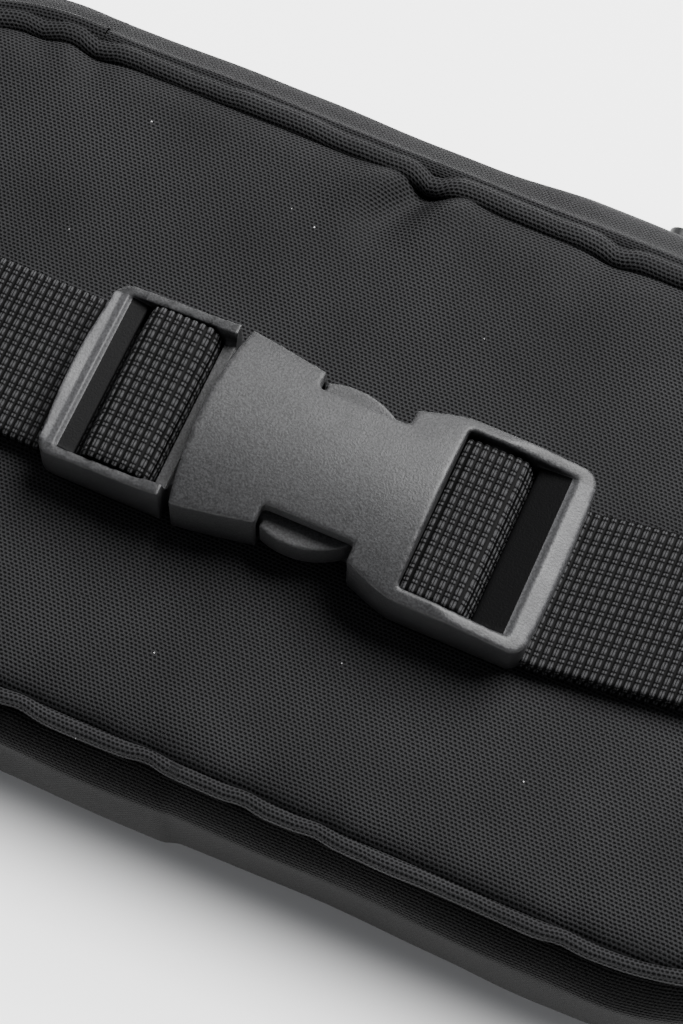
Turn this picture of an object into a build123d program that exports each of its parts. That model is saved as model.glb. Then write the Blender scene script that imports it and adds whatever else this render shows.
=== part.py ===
from build123d import *
import os

os.makedirs("parts", exist_ok=True)

# Waist pack lying on its front face: X along the bag, +Y towards its top edge, +Z out of its back.
# Millimetres. The origin is on the floor, under the middle of the belt's buckle.

# ---------------------------------------------------------------- driving dimensions
# Bag body
BACK_LENGTH = 214.0        # back panel, seam to seam
BACK_WIDTH = 99.0
BACK_Y = 3.0               # middle of the back panel above the belt's centre line
BACK_CORNER = 44.0         # corner radius of the back panel
BAG_DEPTH = 46.0           # floor to the outer face of the back panel
FABRIC = 1.2               # laminated nylon panel
LINING = 0.6               # inner cloth
FOAM = 5.0                 # pad behind the back panel
PIPING_R = 1.3             # rolled seam edge
SEAM_GAP = 0.4             # clearance between stacked soft pieces
SHOULDER_DROP = 7.5        # from the back panel down to the gusset's shoulder
TOP_OUT = 11.0             # how far the top gusset stands beyond the back panel
SHOULDER_IN = 3.0          # the top gusset's shoulder, in from there
BOTTOM_OUT = 4.5           # how far the bottom gusset stands beyond it
END_OUT = 6.0              # how far the ends stand beyond it
FRONT_TOP_OUT = 5.0        # front panel's top edge, beyond the back panel's
FRONT_BOTTOM_IN = 1.5      # front panel's bottom edge, inside the back panel's
POCKET_DEPTH = 11.0        # front pocket, floor to the front panel

# Main zip, in the upright part of the top gusset
ZIP_LENGTH = 122.0         # opening between its end stops
ZIP_Z = 25.5               # height of the zip's centre line
ZIP_BAND = 16.0            # upright band of the gusset that holds it
TEETH_WIDE = 2.7           # one row, across the zip
TEETH_THICK = 2.2
TEETH_GAP = 0.3            # between the two rows
TAPE_WIDE = 6.0            # one tape, from its teeth to its sewn edge
TAPE_THICK = 0.6
STRIP_GAP = 13.0           # between the two cloth strips, showing the tapes
SLIDER_LONG = 11.0
SLIDER_WIDE = 8.4
SLIDER_WALL = 1.2
SLIDER_FIT = 0.35          # around the teeth
PULL_LONG = 28.0
PULL_WIDE = 8.0
PULL_THICK = 1.6
PIN_R = 0.8                # cross pin of a pull
PIN_FIT = 0.08
PIN_STAND = 1.9            # pin above the slider's plate
PULL_END = 1.0             # pull beyond its pin
POCKET_PIN_STAND = 1.6
LIP_FIT = 0.4              # between a moving strip and its neighbours

# Front pocket and its finer zip
POCKET_LENGTH = 172.0
POCKET_WIDTH = 78.0
POCKET_CORNER = 32.0
POCKET_Y = -3.0            # centre of the pocket
POCKET_ZIP_LENGTH = 102.0
POCKET_TEETH = 3.4         # closed coil, across
POCKET_SLIDER_LONG = 8.5
POCKET_SLIDER_WIDE = 6.2
POCKET_PULL_LONG = 22.0
POCKET_PULL_WIDE = 5.6

# Webbing belt
WEB_WIDE = 25.0
WEB_THICK = 1.4
LAYER_GAP = 0.2            # between two layers of webbing
PANEL_GAP = 1.0            # webbing above the back panel, for the keepers
EAR_LONG = 71.4            # from the tab's tip to where the belt folds back
EAR_RADIUS = 9.0           # radius of that fold
TAB_LENGTH = 27.0          # sewn tab at each end of the bag
TAB_THICK = 3.2
TAB_ROOT = 52.0            # width of the tab at the bag
TAB_TIP = 29.0             # width of the tab at the belt
TAIL_END = 97.0            # free end of the belt, from the middle
KEEPER_LONG = 9.0          # elastic band over the free end
KEEPER_THICK = 0.8
EAR_FIT = 0.6              # between an ear and the run it leads to
BEND = 2.3                 # bend of the webbing round a bar

# Buckle, dual adjusting, for the same webbing
BUCKLE_HALF = 38.25        # middle to each outer bar
BUCKLE_HIGH = 12.0         # housing, base to crown
SIDE_HIGH = 9.2            # housing, base to the edge of its crown
MOUTH_X = -16.3            # corners of the housing's mouth
MOUTH_BOW = 1.3            # bow of the mouth towards the male half
MOUTH_WIDE = 29.3
WAIST_WIDE = 25.2          # housing at its windows
WINDOW_X0 = -3.75          # side windows
WINDOW_X1 = 10.25
SPINE_WIDE = 19.3          # housing left between the windows
LOCK_X0 = 18.25            # ladder frame of the female half
LOCK_WIDE = 30.0
FRAME_WIDE = 28.8          # frame of the male half
WEB_SIDE = 0.4             # webbing to each rail
BAR_LONG = 3.1             # outer bars
MALE_LIP_X = -31.85        # gripping edge of the male half's outer bar
FEMALE_LIP_X = 29.15       # gripping edge of the female half's outer bar
INNER_BAR = 5.0            # inner bars, along the belt
HOUSING_WALL = 1.9
CAVITY_WIDE = 23.6
CAVITY_END = 14.0
INSERT_FIT = 0.3           # male tongue in the housing
MALE_SHOULDER = 3.0        # shoulder that meets the mouth
PRONG_WIDE = 3.0
PRONG_HIGH = 5.4
PRONG_Y = 8.6              # centre of a prong's leg
PRONG_HEAD_Y = 12.7        # outer face of a prong's head
GUIDE_WIDE = 5.2
GUIDE_END = 7.0

# ---------------------------------------------------------------- levels that follow
seam_z = BAG_DEPTH - 2 * PIPING_R
shoulder_z = BAG_DEPTH - SHOULDER_DROP
front_z = POCKET_DEPTH
band_top = ZIP_Z + ZIP_BAND / 2
band_bottom = ZIP_Z - ZIP_BAND / 2
wall = FABRIC + LINING
back_top = BACK_Y + BACK_WIDTH / 2
back_bottom = BACK_Y - BACK_WIDTH / 2
top_y = back_top + TOP_OUT
end_x = BACK_LENGTH / 2 + END_OUT

# Outline of the gusset at each level: height, length, lowest y, highest y, corner radius
side_y = back_bottom - BOTTOM_OUT
front_low = back_bottom + FRONT_BOTTOM_IN
front_high = back_top + FRONT_TOP_OUT
wide_corner = BACK_CORNER + END_OUT
levels = [
    (front_z, BACK_LENGTH, front_low, front_high, BACK_CORNER),
    (band_bottom, 2 * end_x, back_bottom - BOTTOM_OUT / 2, top_y, wide_corner),
    (band_top, 2 * end_x, side_y, top_y, wide_corner),
    (shoulder_z, 2 * end_x - 2, side_y, top_y - SHOULDER_IN, wide_corner - 1),
    (seam_z, BACK_LENGTH, back_bottom, back_top, BACK_CORNER),
]

# ---------------------------------------------------------------- bag form, used to cut the pieces
with BuildPart() as bag_outside:
    for z, length, low_y, high_y, corner in levels:
        with BuildSketch(Plane.XY.offset(z)):
            with Locations((0, (low_y + high_y) / 2)):
                RectangleRounded(length, high_y - low_y, corner)
    loft(ruled=True)

with BuildPart() as bag_inside:
    for z, length, low_y, high_y, corner in levels:
        with BuildSketch(Plane.XY.offset(z)):
            with Locations((0, (low_y + high_y) / 2)):
                RectangleRounded(length - 2 * FABRIC, high_y - low_y - 2 * FABRIC, corner - FABRIC)
    loft(ruled=True)

with BuildPart() as lining_outside:
    for z, length, low_y, high_y, corner in levels:
        inset = FABRIC + 0.05
        with BuildSketch(Plane.XY.offset(z)):
            with Locations((0, (low_y + high_y) / 2)):
                RectangleRounded(length - 2 * inset, high_y - low_y - 2 * inset, corner - inset)
    loft(ruled=True)

with BuildPart() as lining_inside:
    for z, length, low_y, high_y, corner in levels:
        inset = FABRIC + 0.05 + LINING
        with BuildSketch(Plane.XY.offset(z)):
            with Locations((0, (low_y + high_y) / 2)):
                RectangleRounded(length - 2 * inset, high_y - low_y - 2 * inset, corner - inset)
    loft(ruled=True)

mouth_half = ZIP_LENGTH / 2
mouth_y = top_y - 18        # the strips are cut from the wall beyond this
gusset_mid = (front_z + seam_z) / 2

# Gusset: bottom and both ends in one run of cloth, stopping at the ends of the zip
with BuildPart() as gusset_wall:
    add(bag_outside.part)
    add(bag_inside.part, mode=Mode.SUBTRACT)
    with Locations((0, mouth_y + 25, gusset_mid)):
        Box(2 * mouth_half, 50, BAG_DEPTH, mode=Mode.SUBTRACT)
    with Locations((0, 0, seam_z)):
        Box(2 * end_x + 10, 2 * top_y + 10, 2 * SEAM_GAP, mode=Mode.SUBTRACT)
    with Locations((0, 0, front_z)):
        Box(2 * end_x + 10, 2 * top_y + 10, 2 * SEAM_GAP, mode=Mode.SUBTRACT)
gusset_wall.part.label = "gusset_wall"
export_step(gusset_wall.part, "parts/gusset_wall.step")

with BuildPart() as gusset_lining:
    add(lining_outside.part)
    add(lining_inside.part, mode=Mode.SUBTRACT)
    with Locations((0, mouth_y + 25, gusset_mid)):
        Box(2 * mouth_half, 50, BAG_DEPTH, mode=Mode.SUBTRACT)
    with Locations((0, 0, seam_z)):
        Box(2 * end_x + 10, 2 * top_y + 10, 6 * SEAM_GAP + 2 * FOAM, mode=Mode.SUBTRACT)
    with Locations((0, 0, front_z)):
        Box(2 * end_x + 10, 2 * top_y + 10, 8 * SEAM_GAP, mode=Mode.SUBTRACT)
gusset_lining.part.label = "gusset_lining"
export_step(gusset_lining.part, "parts/gusset_lining.step")

# Zip strips: the cloth between each seam and the zip, free to lift away from the mouth
strip_edge_back = ZIP_Z + STRIP_GAP / 2
strip_edge_front = ZIP_Z - STRIP_GAP / 2
strip_hinge_back = seam_z - 2.0
strip_hinge_front = front_z + 2.0

with BuildPart() as zip_strip_back:
    add(bag_outside.part)
    add(bag_inside.part, mode=Mode.SUBTRACT)
    with Locations((0, mouth_y + 25, (strip_edge_back + strip_hinge_back) / 2)):
        Box(
            2 * mouth_half - 2 * LIP_FIT,
            50 - 2 * LIP_FIT,
            strip_hinge_back - strip_edge_back,
            mode=Mode.INTERSECT,
        )
zip_strip_back.part.label = "zip_strip_back"
export_step(zip_strip_back.part, "parts/zip_strip_back.step")

with BuildPart() as zip_strip_front:
    add(bag_outside.part)
    add(bag_inside.part, mode=Mode.SUBTRACT)
    with Locations((0, mouth_y + 25, (strip_edge_front + strip_hinge_front) / 2)):
        Box(
            2 * mouth_half - 2 * LIP_FIT,
            50 - 2 * LIP_FIT,
            strip_edge_front - strip_hinge_front,
            mode=Mode.INTERSECT,
        )
zip_strip_front.part.label = "zip_strip_front"
export_step(zip_strip_front.part, "parts/zip_strip_front.step")

# Zip tapes and teeth, one of each on either strip
tape_y = top_y - FABRIC - 0.1 - TAPE_THICK / 2
teeth_inner = TEETH_GAP / 2
tape_inner = teeth_inner + TEETH_WIDE * 0.6
tape_outer = tape_inner + TAPE_WIDE
teeth_end = mouth_half - 4.5       # the rows stop short of the slider's post when shut

with BuildPart() as zip_tape_back:
    with Locations((0, tape_y, ZIP_Z + (tape_inner + tape_outer) / 2)):
        Box(2 * mouth_half - 4 * LIP_FIT, TAPE_THICK, TAPE_WIDE)
zip_tape_back.part.label = "zip_tape_back"
export_step(zip_tape_back.part, "parts/zip_tape_back.step")

with BuildPart() as zip_tape_front:
    with Locations((0, tape_y, ZIP_Z - (tape_inner + tape_outer) / 2)):
        Box(2 * mouth_half - 4 * LIP_FIT, TAPE_THICK, TAPE_WIDE)
zip_tape_front.part.label = "zip_tape_front"
export_step(zip_tape_front.part, "parts/zip_tape_front.step")

teeth_y0 = tape_y + TAPE_THICK / 2 + 0.02
teeth_y = teeth_y0 + TEETH_THICK / 2
with BuildPart() as zip_teeth_back:
    with BuildSketch(Plane.YZ.offset(-mouth_half + 1)):
        with Locations((teeth_y, ZIP_Z + teeth_inner + TEETH_WIDE / 2)):
            RectangleRounded(TEETH_THICK, TEETH_WIDE, TEETH_THICK * 0.3)
    extrude(amount=mouth_half - 1 + teeth_end)
zip_teeth_back.part.label = "zip_teeth_back"
export_step(zip_teeth_back.part, "parts/zip_teeth_back.step")

with BuildPart() as zip_teeth_front:
    with BuildSketch(Plane.YZ.offset(-mouth_half + 1)):
        with Locations((teeth_y, ZIP_Z - teeth_inner - TEETH_WIDE / 2)):
            RectangleRounded(TEETH_THICK, TEETH_WIDE, TEETH_THICK * 0.3)
    extrude(amount=mouth_half - 1 + teeth_end)
zip_teeth_front.part.label = "zip_teeth_front"
export_step(zip_teeth_front.part, "parts/zip_teeth_front.step")

# Slider: a plate over the teeth, a plate behind the tapes, joined by a post past the last tooth
slider_x = mouth_half - SLIDER_LONG / 2 + 1.5
slider_out = teeth_y0 + TEETH_THICK + SLIDER_FIT
slider_in = tape_y - TAPE_THICK / 2 - SLIDER_FIT
post_long = 3.0
post_x = teeth_end + SLIDER_FIT + post_long / 2 + 0.4
with BuildPart() as zip_slider:
    with BuildSketch(Plane.XZ.offset(-slider_out)):
        with Locations((slider_x, ZIP_Z)):
            RectangleRounded(SLIDER_LONG, SLIDER_WIDE, 2.4)
    extrude(amount=-SLIDER_WALL)
    with BuildSketch(Plane.XZ.offset(-slider_in)):
        with Locations((slider_x, ZIP_Z)):
            RectangleRounded(SLIDER_LONG, SLIDER_WIDE, 2.4)
    extrude(amount=SLIDER_WALL)
    with Locations((post_x, (slider_out + slider_in) / 2, ZIP_Z)):
        Box(post_long, slider_out - slider_in + SLIDER_WALL, 2.6)
    # bridge that carries the pull
    with BuildSketch(Plane.XY.offset(ZIP_Z - 1.5)):
        with Locations((slider_x, slider_out + SLIDER_WALL + 1.6)):
            RectangleRounded(7.0, 4.4, 1.2)
        with Locations((slider_x, slider_out + SLIDER_WALL + PIN_STAND)):
            Circle(PIN_R + PIN_FIT, mode=Mode.SUBTRACT)
    extrude(amount=3.0)
zip_slider.part.label = "zip_slider"
export_step(zip_slider.part, "parts/zip_slider.step")

# Pull: a moulded tab on a cross pin, lying back along the shut teeth
pull_y = slider_out + SLIDER_WALL + PIN_STAND
pull_eye = 5.2
with BuildPart() as zip_pull:
    with BuildSketch(Plane.XZ.offset(-pull_y - PULL_THICK / 2)):
        with Locations((slider_x - PULL_LONG / 2 + PULL_END, ZIP_Z)):
            RectangleRounded(PULL_LONG, PULL_WIDE, 2.2)
        with Locations((slider_x - 0.6, ZIP_Z)):
            RectangleRounded(9.4, 3.8, 0.6, mode=Mode.SUBTRACT)
    extrude(amount=PULL_THICK)
    with Locations((slider_x, pull_y, ZIP_Z)):
        Cylinder(PIN_R, pull_eye)
zip_pull.part.label = "zip_pull"
export_step(zip_pull.part, "parts/zip_pull.step")

# End stops crimped on the tapes
with BuildPart() as zip_stops:
    with Locations((-mouth_half - 1.4, top_y + 0.9, ZIP_Z)):
        Box(1.8, 1.6, 6.0)
    with Locations((mouth_half + 3.4, top_y + 0.9, ZIP_Z)):
        Box(1.8, 1.6, 6.0)
zip_stops.part.label = "zip_stops"
export_step(zip_stops.part, "parts/zip_stops.step")

# ---------------------------------------------------------------- back of the bag
with BuildPart() as back_panel:
    with BuildSketch(Plane.XY.offset(BAG_DEPTH - FABRIC)):
        with Locations((0, BACK_Y)):
            RectangleRounded(
                BACK_LENGTH - 4 * PIPING_R, BACK_WIDTH - 4 * PIPING_R, BACK_CORNER - 2 * PIPING_R
            )
    extrude(amount=FABRIC)
back_panel.part.label = "back_panel"
export_step(back_panel.part, "parts/back_panel.step")

with BuildPart() as back_foam:
    with BuildSketch(Plane.XY.offset(BAG_DEPTH - FABRIC - FOAM)):
        with Locations((0, BACK_Y)):
            RectangleRounded(
                BACK_LENGTH - 6 * PIPING_R, BACK_WIDTH - 6 * PIPING_R, BACK_CORNER - 3 * PIPING_R
            )
    extrude(amount=FOAM)
back_foam.part.label = "back_foam"
export_step(back_foam.part, "parts/back_foam.step")

with BuildPart() as back_lining:
    with BuildSketch(Plane.XY.offset(BAG_DEPTH - FABRIC - FOAM - LINING)):
        with Locations((0, BACK_Y)):
            RectangleRounded(
                BACK_LENGTH - 6 * PIPING_R, BACK_WIDTH - 6 * PIPING_R, BACK_CORNER - 3 * PIPING_R
            )
    extrude(amount=LINING)
back_lining.part.label = "back_lining"
export_step(back_lining.part, "parts/back_lining.step")

# Rolled seam edge round the back panel
piping_low = BAG_DEPTH - 2 * PIPING_R + 0.1
with BuildPart() as back_piping:
    with BuildSketch(Plane.XY.offset(piping_low)):
        with Locations((0, BACK_Y)):
            RectangleRounded(BACK_LENGTH, BACK_WIDTH, BACK_CORNER)
            RectangleRounded(
                BACK_LENGTH - 4 * PIPING_R + 0.2,
                BACK_WIDTH - 4 * PIPING_R + 0.2,
                BACK_CORNER - 2 * PIPING_R + 0.1,
                mode=Mode.SUBTRACT,
            )
    extrude(amount=2 * PIPING_R - 0.2)
    fillet(back_piping.edges().filter_by_position(Axis.Z, BAG_DEPTH - 0.2, BAG_DEPTH), PIPING_R * 0.7)
back_piping.part.label = "back_piping"
export_step(back_piping.part, "parts/back_piping.step")

# ---------------------------------------------------------------- front of the bag
with BuildPart() as front_panel:
    with BuildSketch(Plane.XY.offset(front_z - FABRIC)):
        with Locations((0, (front_low + front_high) / 2)):
            RectangleRounded(BACK_LENGTH, front_high - front_low, BACK_CORNER)
    extrude(amount=FABRIC)
front_panel.part.label = "front_panel"
export_step(front_panel.part, "parts/front_panel.step")

with BuildPart() as front_lining:
    with BuildSketch(Plane.XY.offset(front_z + 0.05)):
        with Locations((0, (front_low + front_high) / 2)):
            RectangleRounded(BACK_LENGTH - 14, front_high - front_low - 14, BACK_CORNER - 7)
    extrude(amount=LINING)
front_lining.part.label = "front_lining"
export_step(front_lining.part, "parts/front_lining.step")

# Tape that binds the raw edges of the front seam, inside
with BuildPart() as seam_binding:
    with BuildSketch(Plane.XY.offset(front_z + 0.05)):
        with Locations((0, (front_low + front_high) / 2)):
            RectangleRounded(BACK_LENGTH - 6, front_high - front_low - 6, BACK_CORNER - 3)
            RectangleRounded(
                BACK_LENGTH - 13, front_high - front_low - 13, BACK_CORNER - 6.5,
                mode=Mode.SUBTRACT,
            )
    extrude(amount=1.0)
seam_binding.part.label = "seam_binding"
export_step(seam_binding.part, "parts/seam_binding.step")

# Front pocket: an outer panel, a low wall, and a fine zip along its top edge
pocket_top = POCKET_Y + POCKET_WIDTH / 2
pocket_half = POCKET_ZIP_LENGTH / 2
with BuildPart() as pocket_panel:
    with BuildSketch(Plane.XY):
        with Locations((0, POCKET_Y)):
            RectangleRounded(POCKET_LENGTH, POCKET_WIDTH, POCKET_CORNER)
    extrude(amount=FABRIC)
pocket_panel.part.label = "pocket_panel"
export_step(pocket_panel.part, "parts/pocket_panel.step")

pocket_wall_high = front_z - 2 * FABRIC
with BuildPart() as pocket_wall:
    with BuildSketch(Plane.XY.offset(FABRIC)):
        with Locations((0, POCKET_Y)):
            RectangleRounded(POCKET_LENGTH, POCKET_WIDTH, POCKET_CORNER)
            RectangleRounded(
                POCKET_LENGTH - 2 * FABRIC, POCKET_WIDTH - 2 * FABRIC, POCKET_CORNER - FABRIC,
                mode=Mode.SUBTRACT,
            )
        with Locations((0, pocket_top)):
            Rectangle(POCKET_ZIP_LENGTH + 2 * SEAM_GAP, 20, mode=Mode.SUBTRACT)
    extrude(amount=pocket_wall_high)
pocket_wall.part.label = "pocket_wall"
export_step(pocket_wall.part, "parts/pocket_wall.step")

pocket_zip_z = FABRIC + pocket_wall_high / 2
with BuildPart() as pocket_zip_tape:
    with Locations((0, pocket_top - FABRIC / 2, pocket_zip_z)):
        Box(POCKET_ZIP_LENGTH, TAPE_THICK, pocket_wall_high)
pocket_zip_tape.part.label = "pocket_zip_tape"
export_step(pocket_zip_tape.part, "parts/pocket_zip_tape.step")

pocket_teeth_y = pocket_top - FABRIC / 2 + TAPE_THICK / 2
with BuildPart() as pocket_zip_teeth:
    with BuildSketch(Plane.YZ.offset(-pocket_half + 1)):
        with Locations((pocket_teeth_y + 0.8, pocket_zip_z)):
            RectangleRounded(1.6, POCKET_TEETH, 0.5)
    extrude(amount=POCKET_ZIP_LENGTH - 2)
pocket_zip_teeth.part.label = "pocket_zip_teeth"
export_step(pocket_zip_teeth.part, "parts/pocket_zip_teeth.step")

pocket_slider_x = pocket_half - POCKET_SLIDER_LONG / 2 - 1.5
pocket_slider_y = pocket_teeth_y + 1.6 + SLIDER_FIT
with BuildPart() as pocket_slider:
    with BuildSketch(Plane.XZ.offset(-pocket_slider_y)):
        with Locations((pocket_slider_x, pocket_zip_z)):
            RectangleRounded(POCKET_SLIDER_LONG, POCKET_SLIDER_WIDE, 1.8)
    extrude(amount=-1.0)
    for side in (-1, 1):
        flange_y = pocket_slider_y - 0.6
        with Locations((pocket_slider_x, flange_y, pocket_zip_z + side * 2.55)):
            Box(POCKET_SLIDER_LONG - 3.6, 1.6, 0.9)
    with BuildSketch(Plane.XY.offset(pocket_zip_z - 1.0)):
        with Locations((pocket_slider_x, pocket_slider_y + 1.0 + 1.3)):
            RectangleRounded(5.6, 3.8, 1.0)
        with Locations((pocket_slider_x, pocket_slider_y + 1.0 + POCKET_PIN_STAND)):
            Circle(PIN_R + PIN_FIT, mode=Mode.SUBTRACT)
    extrude(amount=2.0)
pocket_slider.part.label = "pocket_slider"
export_step(pocket_slider.part, "parts/pocket_slider.step")

pocket_pull_y = pocket_slider_y + 1.0 + POCKET_PIN_STAND
with BuildPart() as pocket_pull:
    with BuildSketch(Plane.XZ.offset(-pocket_pull_y - 0.7)):
        with Locations((pocket_slider_x - POCKET_PULL_LONG / 2 + PULL_END, pocket_zip_z)):
            RectangleRounded(POCKET_PULL_LONG, POCKET_PULL_WIDE, 1.8)
        with Locations((pocket_slider_x - 0.8, pocket_zip_z)):
            RectangleRounded(7.4, 2.8, 0.5, mode=Mode.SUBTRACT)
    extrude(amount=1.4)
    with Locations((pocket_slider_x, pocket_pull_y, pocket_zip_z)):
        Cylinder(PIN_R - 0.2, 4.0)
pocket_pull.part.label = "pocket_pull"
export_step(pocket_pull.part, "parts/pocket_pull.step")

# ---------------------------------------------------------------- end tabs
tab_x0 = BACK_LENGTH / 2 + END_OUT + 0.6
tab_z = BAG_DEPTH * 0.62
for side, name in ((-1, "side_tab_left"), (1, "side_tab_right")):
    with BuildPart() as side_tab:
        with BuildSketch(Plane.XY.offset(tab_z - TAB_THICK / 2)):
            with BuildLine():
                Polyline(
                    (side * tab_x0, -TAB_ROOT / 2),
                    (side * tab_x0, TAB_ROOT / 2),
                    (side * (tab_x0 + TAB_LENGTH), TAB_TIP / 2),
                    (side * (tab_x0 + TAB_LENGTH), -TAB_TIP / 2),
                    close=True,
                )
            make_face()
        extrude(amount=TAB_THICK)
        # slot where the webbing is sewn in
        with Locations((side * (tab_x0 + TAB_LENGTH), 0, tab_z)):
            Box(2 * TAB_LENGTH - 14, WEB_WIDE + 0.4, WEB_THICK + 0.1, mode=Mode.SUBTRACT)
    side_tab.part.label = name
    export_step(side_tab.part, "parts/" + name + ".step")

# ---------------------------------------------------------------- buckle levels
web_low = BAG_DEPTH + PANEL_GAP + WEB_THICK / 2                  # standing part on the panel
web_tail = web_low + WEB_THICK + LAYER_GAP                       # free end, above it
buckle_z = BAG_DEPTH + PANEL_GAP
lock_z = web_tail + WEB_THICK / 2 + 0.3                          # underside of the outer bars
web_top = web_low + 7.9                                          # over the inner bars
inner_top = web_top - WEB_THICK / 2 - 0.25
inner_low = web_low + WEB_THICK / 2 + 0.35
rail_in = WEB_WIDE / 2 + WEB_SIDE

# ---------------------------------------------------------------- female half
with BuildPart() as crown:
    with BuildSketch(Plane.YZ.offset(MOUTH_X - 6)):
        with BuildLine():
            edge_y = LOCK_WIDE / 2 + 0.5
            ThreePointArc(
                (-edge_y, buckle_z + SIDE_HIGH - 0.4),
                (0, buckle_z + BUCKLE_HIGH),
                (edge_y, buckle_z + SIDE_HIGH - 0.4),
            )
            Polyline(
                (edge_y, buckle_z + SIDE_HIGH - 0.4),
                (edge_y, buckle_z),
                (-edge_y, buckle_z),
                (-edge_y, buckle_z + SIDE_HIGH - 0.4),
            )
        make_face()
    extrude(amount=BUCKLE_HALF - MOUTH_X + 12)

housing_end = LOCK_X0
with BuildPart() as buckle_female:
    with BuildSketch(Plane.XY.offset(buckle_z)):
        with BuildLine():
            ThreePointArc(
                (MOUTH_X, -MOUTH_WIDE / 2), (MOUTH_X - MOUTH_BOW, 0), (MOUTH_X, MOUTH_WIDE / 2)
            )
            Spline(
                (MOUTH_X, MOUTH_WIDE / 2),
                (WINDOW_X0, WAIST_WIDE / 2),
                (WINDOW_X1, WAIST_WIDE / 2),
                (housing_end, LOCK_WIDE / 2),
                tangents=((1, -0.12), (1, 0.12)),
            )
            Line((housing_end, LOCK_WIDE / 2), (BUCKLE_HALF - 3.0, LOCK_WIDE / 2))
            ThreePointArc(
                (BUCKLE_HALF - 3.0, LOCK_WIDE / 2),
                (BUCKLE_HALF - 0.9, LOCK_WIDE / 2 - 0.9),
                (BUCKLE_HALF - 0.4, LOCK_WIDE / 2 - 3.0),
            )
            ThreePointArc(
                (BUCKLE_HALF - 0.4, LOCK_WIDE / 2 - 3.0),
                (BUCKLE_HALF, 0),
                (BUCKLE_HALF - 0.4, 3.0 - LOCK_WIDE / 2),
            )
            ThreePointArc(
                (BUCKLE_HALF - 0.4, 3.0 - LOCK_WIDE / 2),
                (BUCKLE_HALF - 0.9, 0.9 - LOCK_WIDE / 2),
                (BUCKLE_HALF - 3.0, -LOCK_WIDE / 2),
            )
            Line((BUCKLE_HALF - 3.0, -LOCK_WIDE / 2), (housing_end, -LOCK_WIDE / 2))
            Spline(
                (housing_end, -LOCK_WIDE / 2),
                (WINDOW_X1, -WAIST_WIDE / 2),
                (WINDOW_X0, -WAIST_WIDE / 2),
                (MOUTH_X, -MOUTH_WIDE / 2),
                tangents=((-1, 0.12), (-1, -0.12)),
            )
        make_face()
    extrude(amount=BUCKLE_HIGH)
    add(crown.part, mode=Mode.INTERSECT)
    # ladder opening, right through
    lock_mid = (LOCK_X0 + BUCKLE_HALF - BAR_LONG) / 2
    lock_long = BUCKLE_HALF - BAR_LONG - LOCK_X0
    with Locations((lock_mid, 0, buckle_z + BUCKLE_HIGH / 2)):
        Box(lock_long, 2 * rail_in, BUCKLE_HIGH + 2, mode=Mode.SUBTRACT)
    # the outer bar stands clear above both layers of webbing
    with Locations((BUCKLE_HALF, 0, buckle_z)):
        Box(4 * BAR_LONG, 2 * rail_in, 2 * (lock_z - buckle_z), mode=Mode.SUBTRACT)
    # ladder frame is lower than the housing
    with BuildSketch(Plane.XZ.offset(-LOCK_WIDE)):
        with BuildLine():
            Polyline(
                (LOCK_X0 + 1.5, buckle_z + BUCKLE_HIGH + 1),
                (LOCK_X0 + 6.0, buckle_z + SIDE_HIGH + 0.4),
                (BUCKLE_HALF - BAR_LONG, buckle_z + SIDE_HIGH - 1.2),
                (BUCKLE_HALF + 1, buckle_z + SIDE_HIGH - 2.4),
                (BUCKLE_HALF + 1, buckle_z + BUCKLE_HIGH + 1),
                close=True,
            )
        make_face()
    extrude(amount=2 * LOCK_WIDE, mode=Mode.SUBTRACT)
    # sloped gripping lip of the outer bar
    with BuildSketch(Plane.XZ.offset(-rail_in - 0.5)):
        with BuildLine():
            Polyline(
                (BUCKLE_HALF - BAR_LONG + 0.6, lock_z),
                (BUCKLE_HALF - BAR_LONG + 0.6, buckle_z + SIDE_HIGH - 1.6),
                (FEMALE_LIP_X, buckle_z + SIDE_HIGH - 2.6),
                (FEMALE_LIP_X + 0.7, buckle_z + SIDE_HIGH - 3.6),
                (FEMALE_LIP_X + 1.5, lock_z),
                close=True,
            )
        make_face()
    extrude(amount=2 * rail_in + 1)
    # inner bar
    with BuildSketch(Plane.XZ.offset(-rail_in - 0.5)):
        with Locations((FEMALE_LIP_X - 6.25, (inner_top + inner_low) / 2)):
            RectangleRounded(INNER_BAR, inner_top - inner_low, 1.6)
    extrude(amount=2 * rail_in + 1)
    # hollow for the male half's tongue and prongs
    cavity_z0 = buckle_z + HOUSING_WALL
    cavity_high = PRONG_HIGH + 2 * INSERT_FIT
    cavity_mid = (MOUTH_X - MOUTH_BOW - 1 + CAVITY_END) / 2
    with Locations((cavity_mid, 0, cavity_z0 + cavity_high / 2)):
        Box(CAVITY_END - MOUTH_X + MOUTH_BOW + 1, CAVITY_WIDE, cavity_high, mode=Mode.SUBTRACT)
    # side windows, cut in to the spine from both sides
    for side in (-1, 1):
        window_y = side * (SPINE_WIDE / 2 + 5)
        with Locations(((WINDOW_X0 + WINDOW_X1) / 2, window_y, buckle_z + BUCKLE_HIGH / 2)):
            Box(WINDOW_X1 - WINDOW_X0, 10, BUCKLE_HIGH + 2, mode=Mode.SUBTRACT)
buckle_female.part.label = "buckle_female"
export_step(buckle_female.part, "parts/buckle_female.step")

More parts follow.
